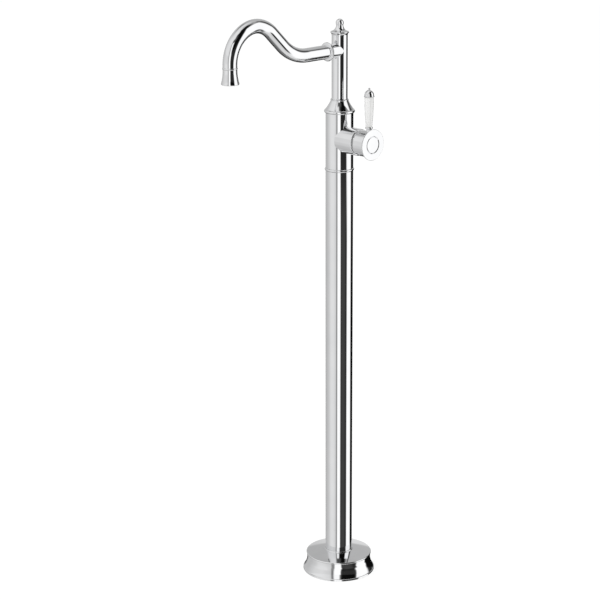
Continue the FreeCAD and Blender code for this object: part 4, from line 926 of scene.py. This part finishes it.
def glazed(name):
    """White porcelain under a clear glaze, faintly cloudy, specked and uneven."""
    material = bpy.data.materials.new(name)
    material.use_nodes = True
    nodes = material.node_tree.nodes
    join = material.node_tree.links.new
    shader = nodes["Principled BSDF"]
    shader.inputs["Coat Weight"].default_value = 1.0
    shader.inputs["Coat Roughness"].default_value = 0.03
    shader.inputs["IOR"].default_value = 1.5
    place = nodes.new("ShaderNodeTexCoord")
    cloudy = nodes.new("ShaderNodeTexNoise")
    cloudy.inputs["Scale"].default_value = 70.0
    cloudy.inputs["Detail"].default_value = 4.0
    join(place.outputs["Object"], cloudy.inputs["Vector"])
    body_tint = nodes.new("ShaderNodeValToRGB")
    body_tint.color_ramp.elements[0].position = 0.3
    body_tint.color_ramp.elements[0].color = (0.89, 0.89, 0.88, 1)
    body_tint.color_ramp.elements[1].position = 0.7
    body_tint.color_ramp.elements[1].color = (0.92, 0.92, 0.915, 1)
    join(cloudy.outputs["Fac"], body_tint.inputs[0])
    specks = nodes.new("ShaderNodeTexVoronoi")
    specks.inputs["Scale"].default_value = 240.0
    join(place.outputs["Object"], specks.inputs["Vector"])
    speck = nodes.new("ShaderNodeValToRGB")
    speck.color_ramp.elements[0].position = 0.02
    speck.color_ramp.elements[0].color = (0.80, 0.79, 0.76, 1)
    speck.color_ramp.elements[1].position = 0.06
    speck.color_ramp.elements[1].color = (1, 1, 1, 1)
    join(specks.outputs["Distance"], speck.inputs[0])
    speckled = nodes.new("ShaderNodeMix")
    speckled.data_type = "RGBA"
    speckled.blend_type = "MULTIPLY"
    speckled.inputs[0].default_value = 0.08
    join(body_tint.outputs[0], speckled.inputs[first_colour])
    join(speck.outputs[0], speckled.inputs[second_colour])
    join(speckled.outputs[mixed_colour], shader.inputs["Base Color"])
    sheen = nodes.new("ShaderNodeMapRange")
    sheen.inputs["To Min"].default_value = 0.22
    sheen.inputs["To Max"].default_value = 0.32
    join(cloudy.outputs["Fac"], sheen.inputs["Value"])
    join(sheen.outputs[0], shader.inputs["Roughness"])
    orange_peel = nodes.new("ShaderNodeTexNoise")
    orange_peel.inputs["Scale"].default_value = 60.0
    orange_peel.inputs["Detail"].default_value = 1.0
    join(place.outputs["Object"], orange_peel.inputs["Vector"])
    relief = nodes.new("ShaderNodeBump")
    relief.inputs["Strength"].default_value = 0.05
    relief.inputs["Distance"].default_value = 0.00004
    join(orange_peel.outputs["Fac"], relief.inputs["Height"])
    join(relief.outputs[0], shader.inputs["Normal"])
    join(relief.outputs[0], shader.inputs["Coat Normal"])
    return material


porcelain = glazed("white_porcelain")
grip_foot = 732.9
grip_length = 44.5
grip_low = 4.8
grip_high = 6.8
grip_edge = 0.6
grip_curve = 420.0
grip = [(rod_room, 0), (grip_low - grip_edge, 0)]
grip += bow(grip[-1], (grip_low, grip_edge), grip_edge, on_left, steps=8)
grip += bow(grip[-1], (grip_high, grip_length - grip_edge), grip_curve, on_left, steps=24)
grip += bow(grip[-1], (grip_high - grip_edge, grip_length), grip_edge, on_left, steps=8)
grip += [(rod_room, grip_length)]
handle_grip = on_lathe(grip, at=(lever_x, 0, grip_foot), segments=96)
finished("porcelain_grip", [handle_grip], porcelain, "handle", "porcelain", "lever_grip")


# ---------------------------------------------------------------------------
# Lever tip. A turned, plated acorn with a round-edged flange and a tiny ball
# on its point, screwed on the rod to clamp the grip.

tip_foot = 777.8
thread_depth = 6.0
flange_radius = 7.65
flange_height = 1.3
flange_curve = 0.779
acorn_radius = 7.1
acorn_curve = 8.1
ball_neck = (1.3, 10.2)
ball_start = (1.3, 10.277)
ball_radius = 1.8
ball_height = 11.522
tip = [(0, thread_depth), (rod_room, thread_depth), (rod_room, 0), (flange_radius, 0)]
tip += bow(tip[-1], (flange_radius, flange_height), flange_curve, on_left, steps=12)
tip += [(acorn_radius, flange_height)]
tip += bow(tip[-1], ball_neck, acorn_curve, on_left, steps=24)
tip += bow(ball_start, (ball_radius, ball_height), ball_radius, on_left, steps=8)
tip += bow(tip[-1], (0, ball_height + ball_radius), ball_radius, on_left, steps=8)
acorn = on_lathe(tip, at=(lever_x, 0, tip_foot), segments=96)
finished("acorn_tip", [acorn], chrome, "handle", "chrome", "lever_tip")


# ---------------------------------------------------------------------------
# Riser. A thick plated tube that swivels in the body on two rubber rings; a
# short stub for the spout is brazed into its side.

riser_radius = 12.0
riser_bore = 8.5
riser_foot = 725.3
riser_top = 863.0
shoulder_radius = 12.7
shoulder_foot = body_top + 20.9
shoulder_height = 1.8
shoulder_curve = 2.52
spout_axis = 840.5
stub_bore = 6.5
stub_root = (11.74, 1.0)
stub_end = (10.5, 23.6)
riser = [
    (riser_bore, riser_foot),
    (riser_radius, riser_foot),
    (riser_radius, shoulder_foot),
    (shoulder_radius, shoulder_foot),
]
riser += bow(
    riser[-1], (riser_radius, shoulder_foot + shoulder_height), shoulder_curve, on_right, steps=8,
)
riser += [(riser_radius, riser_top), (riser_bore, riser_top)]
riser_form = on_lathe(eased(riser, radius=0.2))
stub_section = [(stub_bore, stub_root[1]), stub_root, stub_end, (stub_bore, stub_end[1])]
stub = on_lathe(eased(stub_section, radius=0.15), axis="-Y", at=(0, 0, spout_axis), segments=96)
finished("riser", [riser_form, stub], chrome, "spout", "chrome", "riser_tube")
for name in ("riser_seals", "finial_seal", "stub_seal"):
    finish_node(name, black_rubber)


# ---------------------------------------------------------------------------
# Finial. Turned brass, plated, screwed into the top of the riser: a rolled
# flange, a trumpet-shaped neck and a ball.

plug_depth = 8
plug_radius = 8.45
rim = 13.5
rim_start = 3.2
rim_end = 5.4
under_curve = 4.2
rolled_curve = 1.46
trumpet_foot = (8.9, 7.4)
trumpet_top = (5.2, 14.4)
trumpet_curve = 13.0
ball = 6.0
ball_foot = 15.2
ball_middle = 18.2
finial = [(0, -plug_depth), (plug_radius, -plug_depth), (plug_radius, 0), (riser_radius, 0)]
finial += bow(finial[-1], (rim, rim_start), under_curve, on_right, steps=12)
finial += bow(finial[-1], (rim, rim_end), rolled_curve, on_left, steps=12)
finial += [trumpet_foot]
finial += bow(finial[-1], trumpet_top, trumpet_curve, on_right, steps=14)
finial += [(trumpet_top[0], ball_foot)]
finial += bow(finial[-1], (ball, ball_middle), ball, on_left, steps=10)
finial += bow(finial[-1], (0, ball_middle + ball), ball, on_left, steps=20)
top_knob = on_lathe(eased(finial, radius=0.2), at=(0, 0, riser_top))
finished("finial_knob", [top_knob], chrome, "spout", "chrome", "finial")


# ---------------------------------------------------------------------------
# Spout collar. A wide, full round bead between the riser's stub and the
# spout, turned and plated.

tube_radius = 10.5
tube_bore = 9.3
bead_width = 4.8
bead_rise = 3.7
bead_squareness = 0.8
bead_steps = 24
collar = [(tube_bore, 0), (tube_radius, 0)]
for k in range(1, bead_steps):
    turn = pi * k / bead_steps
    collar.append((
        tube_radius + bead_rise * sin(turn) ** bead_squareness,
        bead_width / 2 * (1 - cos(turn)),
    ))
collar += [(tube_radius, bead_width), (tube_bore, bead_width)]
collar_form = on_lathe(eased(collar, radius=0.15), axis="-Y", at=(0, -stub_end[1], spout_axis))
finished("collar_bead", [collar_form], chrome, "spout", "chrome", "spout_collar")


# ---------------------------------------------------------------------------
# Swan neck. One brass tube bent on formers and polished: level out of the
# collar, a long rise, a tight crest and a drop to the outlet.

tube_start = stub_end[1] + bead_width
rise_angle = 43.7
crest_turn = 59.3
reach = 220.0
tube_end = 840.2
rise_curve = 72.0
crest_curve = 44.0
drop_curve = 51.0
level_end = 68.6
degrees_per_ring = 1.5
fall_angle = crest_turn - rise_angle
crest_run = crest_curve * (sin(radians(rise_angle)) + sin(radians(fall_angle)))
drop_run = drop_curve * (1 - sin(radians(fall_angle)))
rise_run = rise_curve * sin(radians(rise_angle))
slope_run = (reach - level_end - rise_run - crest_run - drop_run) / cos(radians(rise_angle))
# each move is its kind, its length and count of steps or its radius and degrees of turn
moves = [
    ("straight", level_end - tube_start, 3),
    ("left", rise_curve, rise_angle),
    ("straight", slope_run, 8),
    ("right", crest_curve, crest_turn),
    ("right", drop_curve, 90 - fall_angle),
]
# stations on the tube's middle line: way out, rise above the spout's axis, heading
stations = [(tube_start, 0.0, 0.0)]
for kind, amount, extent in moves:
    out, rise, heading = stations[-1]
    if kind == "straight":
        for k in range(1, extent + 1):
            step = amount * k / extent
            stations.append((out + step * cos(heading), rise + step * sin(heading), heading))
    else:
        turn = 1 if kind == "left" else -1
        centre = (out - turn * amount * sin(heading), rise + turn * amount * cos(heading))
        count = int(extent / degrees_per_ring)
        for k in range(1, count + 1):
            angle = heading + turn * radians(extent) * k / count
            stations.append((
                centre[0] + turn * amount * sin(angle),
                centre[1] - turn * amount * cos(angle),
                angle,
            ))
stations.append((reach, tube_end - spout_axis, radians(-90)))

neck_form = bmesh.new()
around = 112
skins = []
for radius in (tube_radius, tube_bore):
    skin = []
    for out, rise, heading in stations:
        loop = []
        for k in range(around):
            angle = full_turn * k / around
            side = radius * cos(angle)
            lift = radius * sin(angle)
            loop.append(neck_form.verts.new((
                side * mm,
                -(out - lift * sin(heading)) * mm,
                (spout_axis + rise + lift * cos(heading)) * mm,
            )))
        skin.append(loop)
    skins.append(skin)
for skin in skins:
    for first, second in zip(skin, skin[1:]):
        for k in range(around):
            following = (k + 1) % around
            neck_form.faces.new((first[k], first[following], second[following], second[k]))
for end in (0, -1):
    for k in range(around):
        following = (k + 1) % around
        neck_form.faces.new((
            skins[0][end][k], skins[0][end][following], skins[1][end][following], skins[1][end][k],
        ))
bmesh.ops.recalc_face_normals(neck_form, faces=neck_form.faces)
finished("swan_neck", [neck_form], chrome, "spout", "chrome", "spout_tube")


# ---------------------------------------------------------------------------
# Outlet. A thin plated ring, a turned bell that flares to a rolled lip, and
# inside it a moulded aerator on a rubber washer.

ring_width = 2.4
outlet_curve = 1.3
ring = [(tube_bore, 0), (tube_radius, 0)]
ring += bow(ring[-1], (tube_radius, ring_width), outlet_curve, on_left, steps=14)
ring += [(tube_bore, ring_width)]
outlet_ring = on_lathe(eased(ring, radius=0.1), at=(0, -reach, tube_end - ring_width))
finished("outlet_bead", [outlet_ring], chrome, "spout", "chrome", "outlet_ring")

bell_foot = 815.8
bell_radius = 13.1
bell_lip = 0.9
bell_curve = 62.0
bell_height = 22.0
bell_neck_start = 19.0
aerator_room = 10.3
aerator_top = 8.0
waterway = 6.8
spigot_radius = 9.25
spigot_top = 27.0
bell = [(aerator_room, 0), (bell_radius - bell_lip, 0)]
bell += bow(bell[-1], (bell_radius, bell_lip), bell_lip, on_left, steps=8)
bell += [(bell_radius, 2 * bell_lip)]
bell += bow(bell[-1], (tube_radius, bell_neck_start), bell_curve, on_right, steps=20)
bell += [
    (tube_radius, bell_height),
    (spigot_radius, bell_height),
    (spigot_radius, spigot_top),
    (waterway, spigot_top),
    (waterway, aerator_top),
    (aerator_room, aerator_top),
]
bell_form = on_lathe(eased(bell, radius=0.15), at=(0, -reach, bell_foot))
finished("bell", [bell_form], chrome, "spout", "chrome", "outlet_bell")
finish_node("aerator_washer", black_rubber)
finish_node("aerator_insert", moulded)


# ---------------------------------------------------------------------------
# Brings the scene up to date.

bpy.context.view_layer.update()
